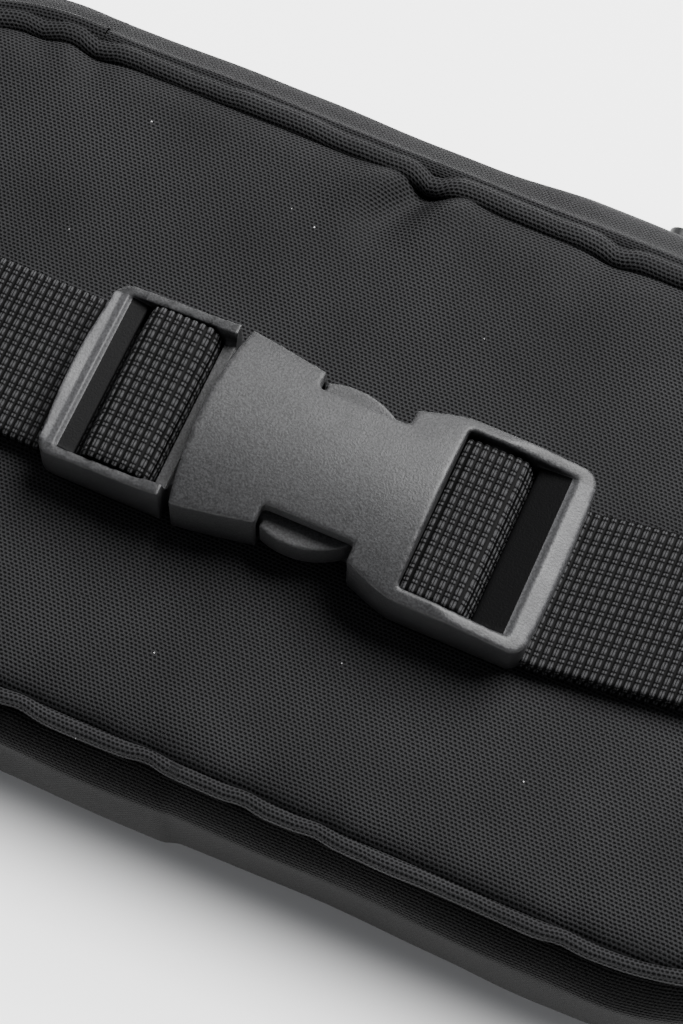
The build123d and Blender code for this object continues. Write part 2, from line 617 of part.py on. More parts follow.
# ---------------------------------------------------------------- male half
shoulder_x1 = MOUTH_X - MOUTH_BOW - 0.4
shoulder_x0 = shoulder_x1 - MALE_SHOULDER
tongue_z0 = cavity_z0 + INSERT_FIT
tongue_x1 = MOUTH_X + 3.0
with BuildPart() as buckle_male:
    with BuildSketch(Plane.XY.offset(buckle_z)):
        with BuildLine():
            Polyline(
                (shoulder_x1, FRAME_WIDE / 2),
                (3.0 - BUCKLE_HALF, FRAME_WIDE / 2),
            )
            ThreePointArc(
                (3.0 - BUCKLE_HALF, FRAME_WIDE / 2),
                (1.1 - BUCKLE_HALF, FRAME_WIDE / 2 - 0.9),
                (0.7 - BUCKLE_HALF, FRAME_WIDE / 2 - 3.0),
            )
            ThreePointArc(
                (0.7 - BUCKLE_HALF, FRAME_WIDE / 2 - 3.0),
                (-BUCKLE_HALF, 0),
                (0.7 - BUCKLE_HALF, 3.0 - FRAME_WIDE / 2),
            )
            ThreePointArc(
                (0.7 - BUCKLE_HALF, 3.0 - FRAME_WIDE / 2),
                (1.1 - BUCKLE_HALF, 0.9 - FRAME_WIDE / 2),
                (3.0 - BUCKLE_HALF, -FRAME_WIDE / 2),
            )
            Polyline(
                (3.0 - BUCKLE_HALF, -FRAME_WIDE / 2),
                (shoulder_x1, -FRAME_WIDE / 2),
                (shoulder_x1, FRAME_WIDE / 2),
            )
        make_face()
    extrude(amount=BUCKLE_HIGH)
    with BuildSketch(Plane.XZ.offset(-FRAME_WIDE)):
        with BuildLine():
            Polyline(
                (-BUCKLE_HALF - 1, buckle_z + SIDE_HIGH - 2.4),
                (-BUCKLE_HALF + BAR_LONG, buckle_z + SIDE_HIGH - 1.2),
                (shoulder_x0 - 2, buckle_z + SIDE_HIGH - 0.2),
                (shoulder_x1, buckle_z + SIDE_HIGH + 0.6),
                (shoulder_x1 + 1, buckle_z + BUCKLE_HIGH + 1),
                (-BUCKLE_HALF - 1, buckle_z + BUCKLE_HIGH + 1),
                close=True,
            )
        make_face()
    extrude(amount=2 * FRAME_WIDE, mode=Mode.SUBTRACT)
    frame_long = shoulder_x0 + BUCKLE_HALF - BAR_LONG
    with Locations((shoulder_x0 - frame_long / 2, 0, buckle_z + BUCKLE_HIGH / 2)):
        Box(frame_long, 2 * rail_in, BUCKLE_HIGH + 2, mode=Mode.SUBTRACT)
    with Locations((-BUCKLE_HALF, 0, buckle_z)):
        Box(4 * BAR_LONG, 2 * rail_in, 2 * (lock_z - buckle_z), mode=Mode.SUBTRACT)
    with BuildSketch(Plane.XZ.offset(-rail_in - 0.5)):
        with BuildLine():
            Polyline(
                (BAR_LONG - BUCKLE_HALF - 0.6, lock_z),
                (BAR_LONG - BUCKLE_HALF - 0.6, buckle_z + SIDE_HIGH - 1.6),
                (MALE_LIP_X, buckle_z + SIDE_HIGH - 2.6),
                (MALE_LIP_X - 0.7, buckle_z + SIDE_HIGH - 3.6),
                (MALE_LIP_X - 1.5, lock_z),
                close=True,
            )
        make_face()
    extrude(amount=2 * rail_in + 1)
    with BuildSketch(Plane.XZ.offset(-rail_in - 0.5)):
        with Locations((MALE_LIP_X + 6.25, (inner_top + inner_low) / 2)):
            RectangleRounded(INNER_BAR, inner_top - inner_low, 1.6)
    extrude(amount=2 * rail_in + 1)
    # tongue in the mouth, and the fixed guide between the prongs
    tongue_wide = CAVITY_WIDE - 2 * INSERT_FIT
    tongue_mid = (shoulder_x1 - 0.5 + tongue_x1) / 2
    with Locations((tongue_mid, 0, tongue_z0 + PRONG_HIGH / 2)):
        Box(tongue_x1 - shoulder_x1 + 0.5, tongue_wide, PRONG_HIGH)
    with Locations(((tongue_x1 - 0.5 + GUIDE_END) / 2, 0, tongue_z0 + PRONG_HIGH / 2)):
        Box(GUIDE_END - tongue_x1 + 0.5, GUIDE_WIDE, PRONG_HIGH - 1.0)
buckle_male.part.label = "buckle_male"
export_step(buckle_male.part, "parts/buckle_male.step")

# Sprung prongs: a slim leg with a crescent head that fills the side window
head_x0 = WINDOW_X0 + 0.4
head_x1 = WINDOW_X1 - 0.5
prong_x0 = tongue_x1 + 0.3
for side, name in ((1, "prong_upper"), (-1, "prong_lower")):
    with BuildPart() as prong:
        with BuildSketch(Plane.XY.offset(tongue_z0)):
            with BuildLine():
                Polyline(
                    (prong_x0, side * (PRONG_Y - PRONG_WIDE / 2)),
                    (prong_x0, side * (PRONG_Y + PRONG_WIDE / 2)),
                    (head_x0 - 1.5, side * (PRONG_Y + PRONG_WIDE / 2)),
                    (head_x0, side * (PRONG_Y + PRONG_WIDE / 2 + 0.8)),
                    (head_x0, side * (PRONG_HEAD_Y - 0.6)),
                )
                ThreePointArc(
                    (head_x0, side * (PRONG_HEAD_Y - 0.6)),
                    ((head_x0 + head_x1) / 2, side * PRONG_HEAD_Y),
                    (head_x1, side * (SPINE_WIDE / 2 - 0.4)),
                )
                Polyline(
                    (head_x1, side * (SPINE_WIDE / 2 - 0.4)),
                    (head_x1 - 1.5, side * (PRONG_Y - PRONG_WIDE / 2)),
                    (prong_x0, side * (PRONG_Y - PRONG_WIDE / 2)),
                )
            make_face()
        extrude(amount=PRONG_HIGH)
    prong.part.label = name
    export_step(prong.part, "parts/" + name + ".step")

# ---------------------------------------------------------------- webbing
# Each half of the belt is sewn into its end tab, drops to the floor, folds back in an ear,
# climbs over the end of the bag and runs along the back panel to the buckle.
ear_low = WEB_THICK / 2 + 0.1
ear_high = ear_low + 2 * EAR_RADIUS
tab_tip_x = tab_x0 + TAB_LENGTH
ear_end = tab_tip_x + EAR_LONG
web_start = tab_x0 + 9.0
climb_x = BACK_LENGTH / 2 + 12.0
split_x = ear_end - 48.0


def belt_section(path):
    return Plane(origin=path @ 0, x_dir=(0, 1, 0), z_dir=path % 0)


split_z = ear_high + 2.2
drop_x = tab_tip_x + 9.0
floor_x = drop_x + 12.0
over_x = tab_tip_x + 4.0
over_z = tab_z + TAB_THICK + 6.0

# Ears: from each tab out to the fold and back, up to where the climb begins
for side, name in ((-1, "strap_left_ear"), (1, "strap_right_ear")):
    with BuildPart() as ear:
        with BuildLine(Plane.XZ) as ear_path:
            FilletPolyline(
                (side * web_start, tab_z),
                (side * drop_x, tab_z),
                (side * floor_x, ear_low),
                (side * (ear_end + EAR_RADIUS), ear_low),
                (side * (ear_end + EAR_RADIUS), ear_high),
                (side * split_x, split_z),
                radius=[8.0, 10.0, EAR_RADIUS - 0.2, EAR_RADIUS - 0.4],
            )
        with BuildSketch(belt_section(ear_path.line)):
            Rectangle(WEB_WIDE, WEB_THICK)
        sweep()
    ear.part.label = name
    export_step(ear.part, "parts/" + name + ".step")

# Runs: up over each end of the bag, under the outer bar, round the inner bar, and the tail
for side, name, lip_x in (
    (-1, "strap_left_run", -MALE_LIP_X),
    (1, "strap_right_run", FEMALE_LIP_X),
):
    with BuildPart() as run:
        with BuildLine(Plane.XZ) as run_path:
            FilletPolyline(
                (side * (split_x - EAR_FIT), split_z + 0.3),
                (side * over_x, over_z),
                (side * climb_x, web_low + 1.0),
                (side * (climb_x - 24), web_low),
                (side * (lip_x - 9.6), web_low),
                (side * (lip_x - 9.6), web_top),
                (side * (lip_x - 2.25), web_top),
                (side * (lip_x + 0.35), web_tail),
                (side * TAIL_END, web_tail + 0.2),
                radius=[16.0, 16.0, 30.0, BEND, BEND, 1.6, 1.5],
            )
        with BuildSketch(belt_section(run_path.line)):
            Rectangle(WEB_WIDE, WEB_THICK)
        sweep()
    run.part.label = name
    export_step(run.part, "parts/" + name + ".step")

# Elastic keepers round both layers, near each free end
keeper_x = TAIL_END - 10.0
keeper_low = web_low - WEB_THICK / 2 - 0.05
keeper_high = web_tail + WEB_THICK / 2 + 0.35
for side, name in ((-1, "keeper_left"), (1, "keeper_right")):
    with BuildPart() as keeper:
        with BuildSketch(Plane.YZ.offset(side * keeper_x - KEEPER_LONG / 2)):
            with Locations((0, (keeper_low + keeper_high) / 2)):
                RectangleRounded(
                    WEB_WIDE + 2 * KEEPER_THICK + 0.4,
                    keeper_high - keeper_low + 2 * KEEPER_THICK,
                    1.0,
                )
                Rectangle(WEB_WIDE + 0.4, keeper_high - keeper_low, mode=Mode.SUBTRACT)
        extrude(amount=KEEPER_LONG)
    keeper.part.label = name
    export_step(keeper.part, "parts/" + name + ".step")
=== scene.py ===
import math

import bmesh
import bpy
from mathutils import Matrix, Vector, noise


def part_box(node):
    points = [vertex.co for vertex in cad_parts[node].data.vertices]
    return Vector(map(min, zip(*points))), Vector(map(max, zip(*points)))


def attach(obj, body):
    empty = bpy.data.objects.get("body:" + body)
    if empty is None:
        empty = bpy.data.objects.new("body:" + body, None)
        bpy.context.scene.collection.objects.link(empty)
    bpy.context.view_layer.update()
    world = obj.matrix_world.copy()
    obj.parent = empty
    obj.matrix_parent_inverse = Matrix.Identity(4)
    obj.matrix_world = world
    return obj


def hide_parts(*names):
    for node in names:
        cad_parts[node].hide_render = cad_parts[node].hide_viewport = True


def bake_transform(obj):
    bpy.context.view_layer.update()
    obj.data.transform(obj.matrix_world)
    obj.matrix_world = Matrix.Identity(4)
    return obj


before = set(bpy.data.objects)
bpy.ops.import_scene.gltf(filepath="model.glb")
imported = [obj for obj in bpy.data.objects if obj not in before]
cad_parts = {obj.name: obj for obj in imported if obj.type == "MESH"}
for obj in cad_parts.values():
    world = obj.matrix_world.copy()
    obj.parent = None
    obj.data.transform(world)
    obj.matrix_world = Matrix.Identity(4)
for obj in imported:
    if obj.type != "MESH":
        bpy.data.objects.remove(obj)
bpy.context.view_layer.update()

MM = 0.001
scene = bpy.context.scene


# ---- Camera: a long lens, high above the bag's lower edge and a little to the right.
# It aims near the buckle's middle, and its place follows from two angles and a stand-off.
AZIMUTH, ELEVATION, ROLL = math.radians(22.5), math.radians(68.9), math.radians(1.6)
AIM = Vector((4.7, -1.2, 43.0)) * MM
STAND_OFF = 457 * MM
back = Vector((
    math.sin(AZIMUTH) * math.cos(ELEVATION),
    -math.cos(AZIMUTH) * math.cos(ELEVATION),
    math.sin(ELEVATION),
))
right = Vector((math.cos(AZIMUTH), math.sin(AZIMUTH), 0))
up = back.cross(right)
cam_x = right * math.cos(ROLL) + up * math.sin(ROLL)
cam_y = -right * math.sin(ROLL) + up * math.cos(ROLL)
camera_data = bpy.data.cameras.new("camera")
camera_data.sensor_fit = "VERTICAL"
camera_data.sensor_height = 36
camera_data.lens = 110.7
camera_data.clip_start = 0.01
camera_data.dof.use_dof = False
camera = bpy.data.objects.new("camera", camera_data)
scene.collection.objects.link(camera)
place = Matrix((cam_x, cam_y, back)).transposed().to_4x4()
place.translation = AIM + back * STAND_OFF
camera.matrix_world = place
scene.camera = camera


# ---- Floor and light: a white table, and soft light from high up behind the bag's top edge.
# The table glows like a lit sheet. Its glow fades out round the bag: a painted shadow, shaped like the
# bag's outline and matched.
def shader(name, color, roughness=0.6, specular=0.5, metallic=0.0):
    mat = bpy.data.materials.new(name)
    mat.use_nodes = True
    surface = mat.node_tree.nodes["Principled BSDF"]
    surface.inputs["Base Color"].default_value = (*color, 1)
    surface.inputs["Roughness"].default_value = roughness
    surface.inputs["Specular IOR Level"].default_value = specular
    surface.inputs["Metallic"].default_value = metallic
    return mat, mat.node_tree.nodes, mat.node_tree.links, surface


def math_node(nodes, links, op, a, b=None, c=None):
    n = nodes.new("ShaderNodeMath")
    n.operation = op
    for i, v in enumerate((a, b, c)):
        if v is None:
            continue
        if isinstance(v, (int, float)):
            n.inputs[i].default_value = v
        else:
            links.new(v, n.inputs[i])
    return n.outputs[0]


floor_mat, nodes, links, floor_surface = shader("table_white", (0.88, 0.88, 0.88), 0.8, 0.1)

# the fade is measured in metres from a slim bar that lies under the bag, along its length
BAR_HALF_X, BAR_HALF_Y, BAR_Y = 0.063, 0.0072, 0.0062
DARK_AT, BRIGHT_AT, GLOW = 0.046, 0.068, 2.4
coord = nodes.new("ShaderNodeTexCoord")
split = nodes.new("ShaderNodeSeparateXYZ")
links.new(coord.outputs["Object"], split.inputs[0])


def beyond(where, half):
    past = math_node(nodes, links, "SUBTRACT", math_node(nodes, links, "ABSOLUTE", where), half)
    return math_node(nodes, links, "MAXIMUM", past, 0.0)


def squared(a):
    return math_node(nodes, links, "MULTIPLY", a, a)


long_way = beyond(split.outputs[0], BAR_HALF_X)
short_way = beyond(math_node(nodes, links, "SUBTRACT", split.outputs[1], BAR_Y), BAR_HALF_Y)
away = math_node(nodes, links, "SQRT", math_node(nodes, links, "ADD", squared(long_way), squared(short_way)))
fade = nodes.new("ShaderNodeMapRange")
fade.interpolation_type = "SMOOTHSTEP"
links.new(away, fade.inputs["Value"])
fade.inputs["From Min"].default_value = DARK_AT
fade.inputs["From Max"].default_value = BRIGHT_AT
fade.inputs["To Max"].default_value = GLOW
links.new(fade.outputs[0], floor_surface.inputs["Emission Strength"])
floor_surface.inputs["Emission Color"].default_value = (1, 1, 1, 1)
bpy.ops.mesh.primitive_plane_add(size=6, location=(0, 0, -0.0002))
table = bpy.context.object
table.name = "table"
table.data.materials.append(floor_mat)


def soft_light(name, where, size, power, at=(0, 0, 0.03)):
    lamp = bpy.data.lights.new(name, "AREA")
    lamp.shape = "DISK"
    lamp.size = size
    lamp.energy = power
    obj = bpy.data.objects.new(name, lamp)
    scene.collection.objects.link(obj)
    obj.location = where
    obj.rotation_euler = (Vector(at) - Vector(where)).to_track_quat("-Z", "Y").to_euler()
    return obj


soft_light("key", (0.34, 0.66, 0.86), 0.85, 40)
soft_light("side", (-0.9, 0.25, 0.6), 0.7, 1.2)
soft_light("front", (0.2, -0.9, 0.8), 0.9, 0.8)
world = bpy.data.worlds.new("studio")
world.use_nodes = True
world.node_tree.nodes["Background"].inputs[0].default_value = (0.93, 0.95, 1.0, 1)
world.node_tree.nodes["Background"].inputs[1].default_value = 0.20
scene.world = world


# ---- Cloth, webbing and plastic finishes.
# Each piece of cloth carries a UV map in millimetres, so a weave keeps its real size.
def ramp(nodes, links, fac, stops):
    r = nodes.new("ShaderNodeValToRGB")
    r.color_ramp.elements[0].position, r.color_ramp.elements[0].color = stops[0][0], (*stops[0][1], 1)
    r.color_ramp.elements[1].position, r.color_ramp.elements[1].color = stops[-1][0], (*stops[-1][1], 1)
    for pos, col in stops[1:-1]:
        e = r.color_ramp.elements.new(pos)
        e.color = (*col, 1)
    links.new(fac, r.inputs[0])
    return r.outputs[0]


def noise_node(nodes, links, vector, scale, detail=3.0, rough=0.5):
    n = nodes.new("ShaderNodeTexNoise")
    n.inputs["Scale"].default_value = scale
    n.inputs["Detail"].default_value = detail
    n.inputs["Roughness"].default_value = rough
    links.new(vector, n.inputs["Vector"])
    return n.outputs[0]


def grey(v, tint=0.0):
    return (v, v, v * (1 + tint))


def add_dust(nodes, links, vector, color, every=5.0, size=0.06, bright=0.6):
    """Sparse pale specks of lint, a fraction of a millimetre across."""
    v = nodes.new("ShaderNodeTexVoronoi")
    v.inputs["Scale"].default_value = 1 / every
    v.inputs["Randomness"].default_value = 1
    links.new(vector, v.inputs["Vector"])
    speck = math_node(nodes, links, "LESS_THAN", v.outputs["Distance"], size / every * 2)
    pick = nodes.new("ShaderNodeSeparateColor")
    links.new(v.outputs["Color"], pick.inputs[0])
    some = math_node(nodes, links, "GREATER_THAN", pick.outputs[0], 0.45)
    both = math_node(nodes, links, "MULTIPLY", speck, some)
    mix = nodes.new("ShaderNodeMix")
    mix.data_type = "RGBA"
    links.new(both, mix.inputs["Factor"])
    links.new(color, mix.inputs["A"])
    mix.inputs["B"].default_value = (bright, bright, bright, 1)
    return mix.outputs["Result"]


def weave(name, along=0.70, across=0.55, thread=0.0140, gap=0.0006, bump=0.6, dust=True, rough=0.62,
          spec=0.08, painted_lower_shade=None):
    """Plain woven nylon: rows of short floats with dark gaps, every other row half a step on. The floats' bright
    tops are a painted highlight and the dark gaps painted shade. The last argument paints more shade: the cloth
    darker towards the bag's lower side, to a matched tone."""
    mat, nodes, links, surface = shader(name, grey(thread), rough, spec)
    uv = nodes.new("ShaderNodeUVMap")
    wobble = nodes.new("ShaderNodeVectorMath")
    wobble.operation = "MULTIPLY_ADD"
    soft = nodes.new("ShaderNodeTexNoise")
    soft.inputs["Scale"].default_value = 0.35
    soft.inputs["Detail"].default_value = 2
    links.new(uv.outputs[0], soft.inputs["Vector"])
    links.new(soft.outputs["Color"], wobble.inputs[0])
    wobble.inputs[1].default_value = (0.55, 0.35, 0)
    links.new(uv.outputs[0], wobble.inputs[2])
    split = nodes.new("ShaderNodeSeparateXYZ")
    links.new(wobble.outputs[0], split.inputs[0])
    row = math_node(nodes, links, "DIVIDE", split.outputs[1], across)
    number = math_node(nodes, links, "FLOOR", row)
    odd = math_node(nodes, links, "MULTIPLY", math_node(nodes, links, "MODULO", number, 2.0), 0.5)
    col = math_node(nodes, links, "ADD", math_node(nodes, links, "DIVIDE", split.outputs[0], along), odd)
    fx = math_node(nodes, links, "FRACT", math_node(nodes, links, "ADD", col, 1000.0))
    fy = math_node(nodes, links, "FRACT", math_node(nodes, links, "ADD", row, 1000.0))
    # a hole between the threads at the middle of each cell, painted dark by the ramp below as painted shade
    dx = math_node(nodes, links, "DIVIDE", math_node(nodes, links, "SUBTRACT", fx, 0.5), 0.50)
    dy = math_node(nodes, links, "DIVIDE", math_node(nodes, links, "SUBTRACT", fy, 0.5), 0.42)
    far = math_node(nodes, links, "ADD", math_node(nodes, links, "MULTIPLY", dx, dx),
                    math_node(nodes, links, "MULTIPLY", dy, dy))
    height = math_node(nodes, links, "MINIMUM", far, 1.0)
    fine = noise_node(nodes, links, uv.outputs[0], 5.0, 4.0, 0.7)
    rugged = math_node(nodes, links, "MULTIPLY", height,
                       math_node(nodes, links, "ADD", math_node(nodes, links, "MULTIPLY", fine, 1.1), 0.45))
    broad = noise_node(nodes, links, uv.outputs[0], 0.045, 3.0)
    # the colour follows the weave's height, roughened by noise: painted shade in the holes and gaps, a painted
    # highlight on the float tops
    color = ramp(nodes, links, rugged, [
        (0.16, grey(gap, 0.05)), (0.50, grey(thread * 0.8, 0.05)), (1.0, grey(thread * 1.9, 0.04)),
    ])
    tone = nodes.new("ShaderNodeMix")
    tone.data_type = "RGBA"
    tone.blend_type = "MULTIPLY"
    tone.inputs["Factor"].default_value = 1
    links.new(color, tone.inputs["A"])
    links.new(ramp(nodes, links, broad, [(0.3, grey(0.8)), (0.7, grey(1.15))]), tone.inputs["B"])
    out = tone.outputs["Result"]
    # painted shade: the cloth's colour is darkened towards the bag's lower side, by its place in y
    if painted_lower_shade is not None:
        place = nodes.new("ShaderNodeTexCoord")
        part = nodes.new("ShaderNodeSeparateXYZ")
        links.new(place.outputs["Object"], part.inputs[0])
        side = nodes.new("ShaderNodeMapRange")
        links.new(part.outputs[1], side.inputs["Value"])
        side.inputs["From Min"].default_value = -0.04
        side.inputs["From Max"].default_value = 0.05
        shade = nodes.new("ShaderNodeMix")
        shade.data_type = "RGBA"
        shade.blend_type = "MULTIPLY"
        shade.inputs["Factor"].default_value = 1
        links.new(out, shade.inputs["A"])
        links.new(ramp(nodes, links, side.outputs[0], [(0.0, grey(painted_lower_shade)), (1.0, grey(1.0))]), shade.inputs["B"])
        out = shade.outputs["Result"]
    if dust:
        out = add_dust(nodes, links, uv.outputs[0], out)
    links.new(out, surface.inputs["Base Color"])
    b = nodes.new("ShaderNodeBump")
    b.inputs["Strength"].default_value = bump
    b.inputs["Distance"].default_value = 0.22 * MM
    links.new(rugged, b.inputs["Height"])
    links.new(b.outputs[0], surface.inputs["Normal"])
    return mat


RIB = 1.22          # webbing ribs, along the belt
BEAD = 2.05         # one long and one short bead, across the belt


def webbing_finish(name, thread=0.024, bump=0.8):
    """Ribbed nylon webbing: filaments run along the belt over each rib; the rib tops carry a painted highlight and
    the gaps painted shade.
    """
    mat, nodes, links, surface = shader(name, grey(thread), 0.6, 0.08)
    uv = nodes.new("ShaderNodeUVMap")
    split = nodes.new("ShaderNodeSeparateXYZ")
    links.new(uv.outputs[0], split.inputs[0])
    u, v = split.outputs[0], split.outputs[1]
    rib = math_node(nodes, links, "FRACT", math_node(nodes, links, "DIVIDE", u, RIB))
    bead = math_node(nodes, links, "FRACT", math_node(nodes, links, "DIVIDE", v, BEAD))
    # each rib is a pair of strands, with a wide gap to the next that the ramp below paints dark, a painted shade
    band = math_node(nodes, links, "DIVIDE", math_node(nodes, links, "SUBTRACT", rib, 0.16), 0.68)
    band = math_node(nodes, links, "MINIMUM", math_node(nodes, links, "MAXIMUM", band, 0.0), 1.0)
    hump = math_node(nodes, links, "ABSOLUTE",
                     math_node(nodes, links, "SINE", math_node(nodes, links, "MULTIPLY", band, 2 * math.pi)))
    hump = math_node(nodes, links, "POWER", hump, 0.35)
    # the long bead takes the first two thirds of each repeat, the short one the rest
    first = math_node(nodes, links, "MINIMUM", math_node(nodes, links, "DIVIDE", bead, 0.66), 1.0)
    second = math_node(nodes, links, "MAXIMUM", math_node(nodes, links, "DIVIDE",
                       math_node(nodes, links, "SUBTRACT", bead, 0.66), 0.34), 0.0)
    arch = math_node(nodes, links, "SINE", math_node(nodes, links, "MULTIPLY", first, math.pi))
    long_bead = math_node(nodes, links, "POWER", arch, 0.45)
    short_bead = math_node(nodes, links, "SINE", math_node(nodes, links, "MULTIPLY", second, math.pi))
    wide = math_node(nodes, links, "MAXIMUM", long_bead, short_bead)
    wide = math_node(nodes, links, "MULTIPLY_ADD", wide, 0.8, 0.2)
    filament = noise_node(nodes, links, uv.outputs[0], 4.0, 5.0, 0.75)
    height = math_node(nodes, links, "MULTIPLY", hump, wide)
    rugged = math_node(nodes, links, "MULTIPLY", height,
                       math_node(nodes, links, "ADD", math_node(nodes, links, "MULTIPLY", filament, 1.1), 0.45))
    # the colour follows the ribs' height: painted shade in the gaps and a painted highlight on the bead tops
    color = ramp(nodes, links, rugged, [
        (0.28, grey(0.0006)), (0.55, grey(thread * 0.6, 0.04)), (1.0, grey(thread * 2.6, 0.03)),
    ])
    color = add_dust(nodes, links, uv.outputs[0], color, 6.0, 0.05, 0.45)
    links.new(color, surface.inputs["Base Color"])
    b = nodes.new("ShaderNodeBump")
    b.inputs["Strength"].default_value = bump
    b.inputs["Distance"].default_value = 0.3 * MM
    links.new(rugged, b.inputs["Height"])
    links.new(b.outputs[0], surface.inputs["Normal"])
    return mat


def moulded(name, base=0.018, rough=0.46, grain=6.0, bump=0.22, depth=0.06, smooth_shaded_ramps=(), highlit_bars=()):
    """Acetal moulding from a spark-eroded tool: fine matte grain, a little duller in patches.
    The first list gives stretches of x, in millimetres, where the webbing's ramps are smoother and painted dark, a
    painted shade;
    the second gives the stretches of the outer bars, which are painted paler, a painted highlight; both are
    matched."""
    mat, nodes, links, surface = shader(name, grey(base, 0.05), rough, 0.5)
    coord = nodes.new("ShaderNodeTexCoord")
    scaled = nodes.new("ShaderNodeVectorMath")
    scaled.operation = "SCALE"
    scaled.inputs[3].default_value = 1000
    links.new(coord.outputs["Object"], scaled.inputs[0])
    fine = noise_node(nodes, links, scaled.outputs[0], grain, 3.0, 0.6)
    broad = noise_node(nodes, links, scaled.outputs[0], 0.12, 3.0, 0.5)
    rough_out = ramp(nodes, links, broad, [(0.3, grey(rough - 0.05)), (0.7, grey(rough + 0.1))])
    color = ramp(nodes, links, fine, [(0.36, grey(base * 0.35, 0.05)), (0.66, grey(base * 1.9, 0.05))])
    color = add_dust(nodes, links, scaled.outputs[0], color, 5.0, 0.05, 0.3)
    if smooth_shaded_ramps:
        at = nodes.new("ShaderNodeSeparateXYZ")
        links.new(scaled.outputs[0], at.inputs[0])
        inside = math_node(nodes, links, "LESS_THAN", math_node(nodes, links, "ABSOLUTE", at.outputs[1]), 12.75)

        def stretch(spans):
            total = 0.0
            for x0, x1 in spans:
                span = math_node(nodes, links, "COMPARE", at.outputs[0], (x0 + x1) / 2, (x1 - x0) / 2)
                total = math_node(nodes, links, "ADD", span, total)
            return math_node(nodes, links, "MULTIPLY", total, inside)

        def blend_to(mask, value, other, kind):
            mix = nodes.new("ShaderNodeMix")
            mix.data_type = kind
            links.new(mask, mix.inputs["Factor"])
            links.new(value, [q for q in mix.inputs if q.name == "A" and q.enabled][0])
            target = [q for q in mix.inputs if q.name == "B" and q.enabled][0]
            if isinstance(other, (float, tuple)):
                target.default_value = other
            else:
                links.new(other, target)
            return [q for q in mix.outputs if q.enabled][0]

        # painted shade: the webbing's ramps are painted near black, and given less specular and a smoother finish
        mask = stretch(smooth_shaded_ramps)
        color = blend_to(mask, color, (0.0035, 0.0035, 0.0037, 1), "RGBA")
        rough_out = blend_to(mask, rough_out, 0.45, "FLOAT")
        spec_out = math_node(nodes, links, "MULTIPLY_ADD", mask, -0.46, 0.5)
        links.new(spec_out, surface.inputs["Specular IOR Level"])
        # painted highlight: the outer bars are painted paler
        pale = ramp(nodes, links, fine, [(0.36, grey(base * 1.3, 0.05)), (0.66, grey(base * 3.4, 0.05))])
        color = blend_to(stretch(highlit_bars), color, pale, "RGBA")
    links.new(rough_out, surface.inputs["Roughness"])
    links.new(color, surface.inputs["Base Color"])
    b = nodes.new("ShaderNodeBump")
    b.inputs["Strength"].default_value = bump
    b.inputs["Distance"].default_value = depth * MM
    links.new(fine, b.inputs["Height"])
    links.new(b.outputs[0], surface.inputs["Normal"])
    return mat


shell_cloth = weave("shell_cloth")
# the gusset's cloth is the shell cloth with a slightly darker thread, a painted shade, and is painted darker still
# towards the bag's lower side
gusset_cloth = weave("gusset_cloth", thread=0.0125, spec=0.04, painted_lower_shade=0.13)
lining_cloth = weave("lining_cloth", 0.35, 0.35, 0.045, 0.02, 0.15, False)
tape_cloth = weave("tape_cloth", 0.8, 0.45, 0.014, 0.003, 0.35, False)
elastic_cloth = weave("elastic_cloth", 0.9, 0.7, 0.018, 0.003, 0.6, False)
foam_mat = moulded("foam", 0.05, 0.85, 3.0, 0.5)
web_mat = webbing_finish("webbing")
# the buckle's ramps are painted dark, a painted shade, and its outer bars paler, a painted highlight
buckle_mat = moulded("buckle_plastic", 0.018, 0.50, 3.2, 0.7, 0.07, ((-34.7, -31.0), (28.6, 34.3)),
                     ((-39.0, -34.7), (34.3, 39.0)))
pull_mat = moulded("pull_plastic", 0.014, 0.5)
coil_mat = moulded("zip_coil", 0.012, 0.38, 4.0, 0.1)
metal_mat = moulded("slider_enamel", 0.015, 0.3, 3.0, 0.05)


# ---- Bag body: one lofted form, cut into the pieces of cloth it is sewn from.
# Outlines run anticlockwise from the middle of the lower edge, with matching points on every level.
BACK_Z, FRONT_Z, FABRIC = 46.0, 11.0, 1.2
BACK_TOP, BACK_BOTTOM, BACK_HALF, BACK_R = 52.5, -46.5, 107.0, 44.0
MOUTH = 61.0
ZIP_Z = 25.5


def outline(half_x, low_y, high_y, r, fine=1.0):
    """Points of a rounded rectangle; straight runs and corners keep the same counts at any size."""
    long_n, short_n, arc_n = int(84 * fine), int(10 * fine), int(46 * fine)
    pts = []
    cx, cy0, cy1 = half_x - r, low_y + r, high_y - r

    def run(a, b, n):
        for i in range(n):
            t = i / n
            pts.append((a[0] + (b[0] - a[0]) * t, a[1] + (b[1] - a[1]) * t))

    def arc(x, y, start):
        for i in range(arc_n):
            a = math.radians(start + 90 * i / arc_n)
            pts.append((x + r * math.cos(a), y + r * math.sin(a)))

    run((0, low_y), (cx, low_y), long_n // 2)
    arc(cx, cy0, -90)
    run((half_x, cy0), (half_x, cy1), short_n)
    arc(cx, cy1, 0)
    run((cx, high_y), (-cx, high_y), long_n)
    arc(-cx, cy1, 90)
    run((-half_x, cy1), (-half_x, cy0), short_n)
    arc(-cx, cy0, 180)
    run((-cx, low_y), (0, low_y), long_n // 2)
    return pts


def new_piece(name, verts, faces, mat, uvs=None, smooth=True):
    """A mesh object from points in millimetres, with its faces turned outwards."""
    mesh = bpy.data.meshes.new(name)
    mesh.from_pydata([tuple(c * MM for c in v) for v in verts], [], faces)
    if uvs is not None:
        layer = mesh.uv_layers.new(name="UVMap")
        for loop in mesh.loops:
            layer.data[loop.index].uv = uvs[loop.vertex_index]
    mesh.materials.append(mat)
    obj = bpy.data.objects.new(name, mesh)
    scene.collection.objects.link(obj)
    bm = bmesh.new()
    bm.from_mesh(mesh)
    bmesh.ops.recalc_face_normals(bm, faces=bm.faces)
    bm.to_mesh(mesh)
    bm.free()
    for p in mesh.polygons:
        p.use_smooth = smooth
    return obj


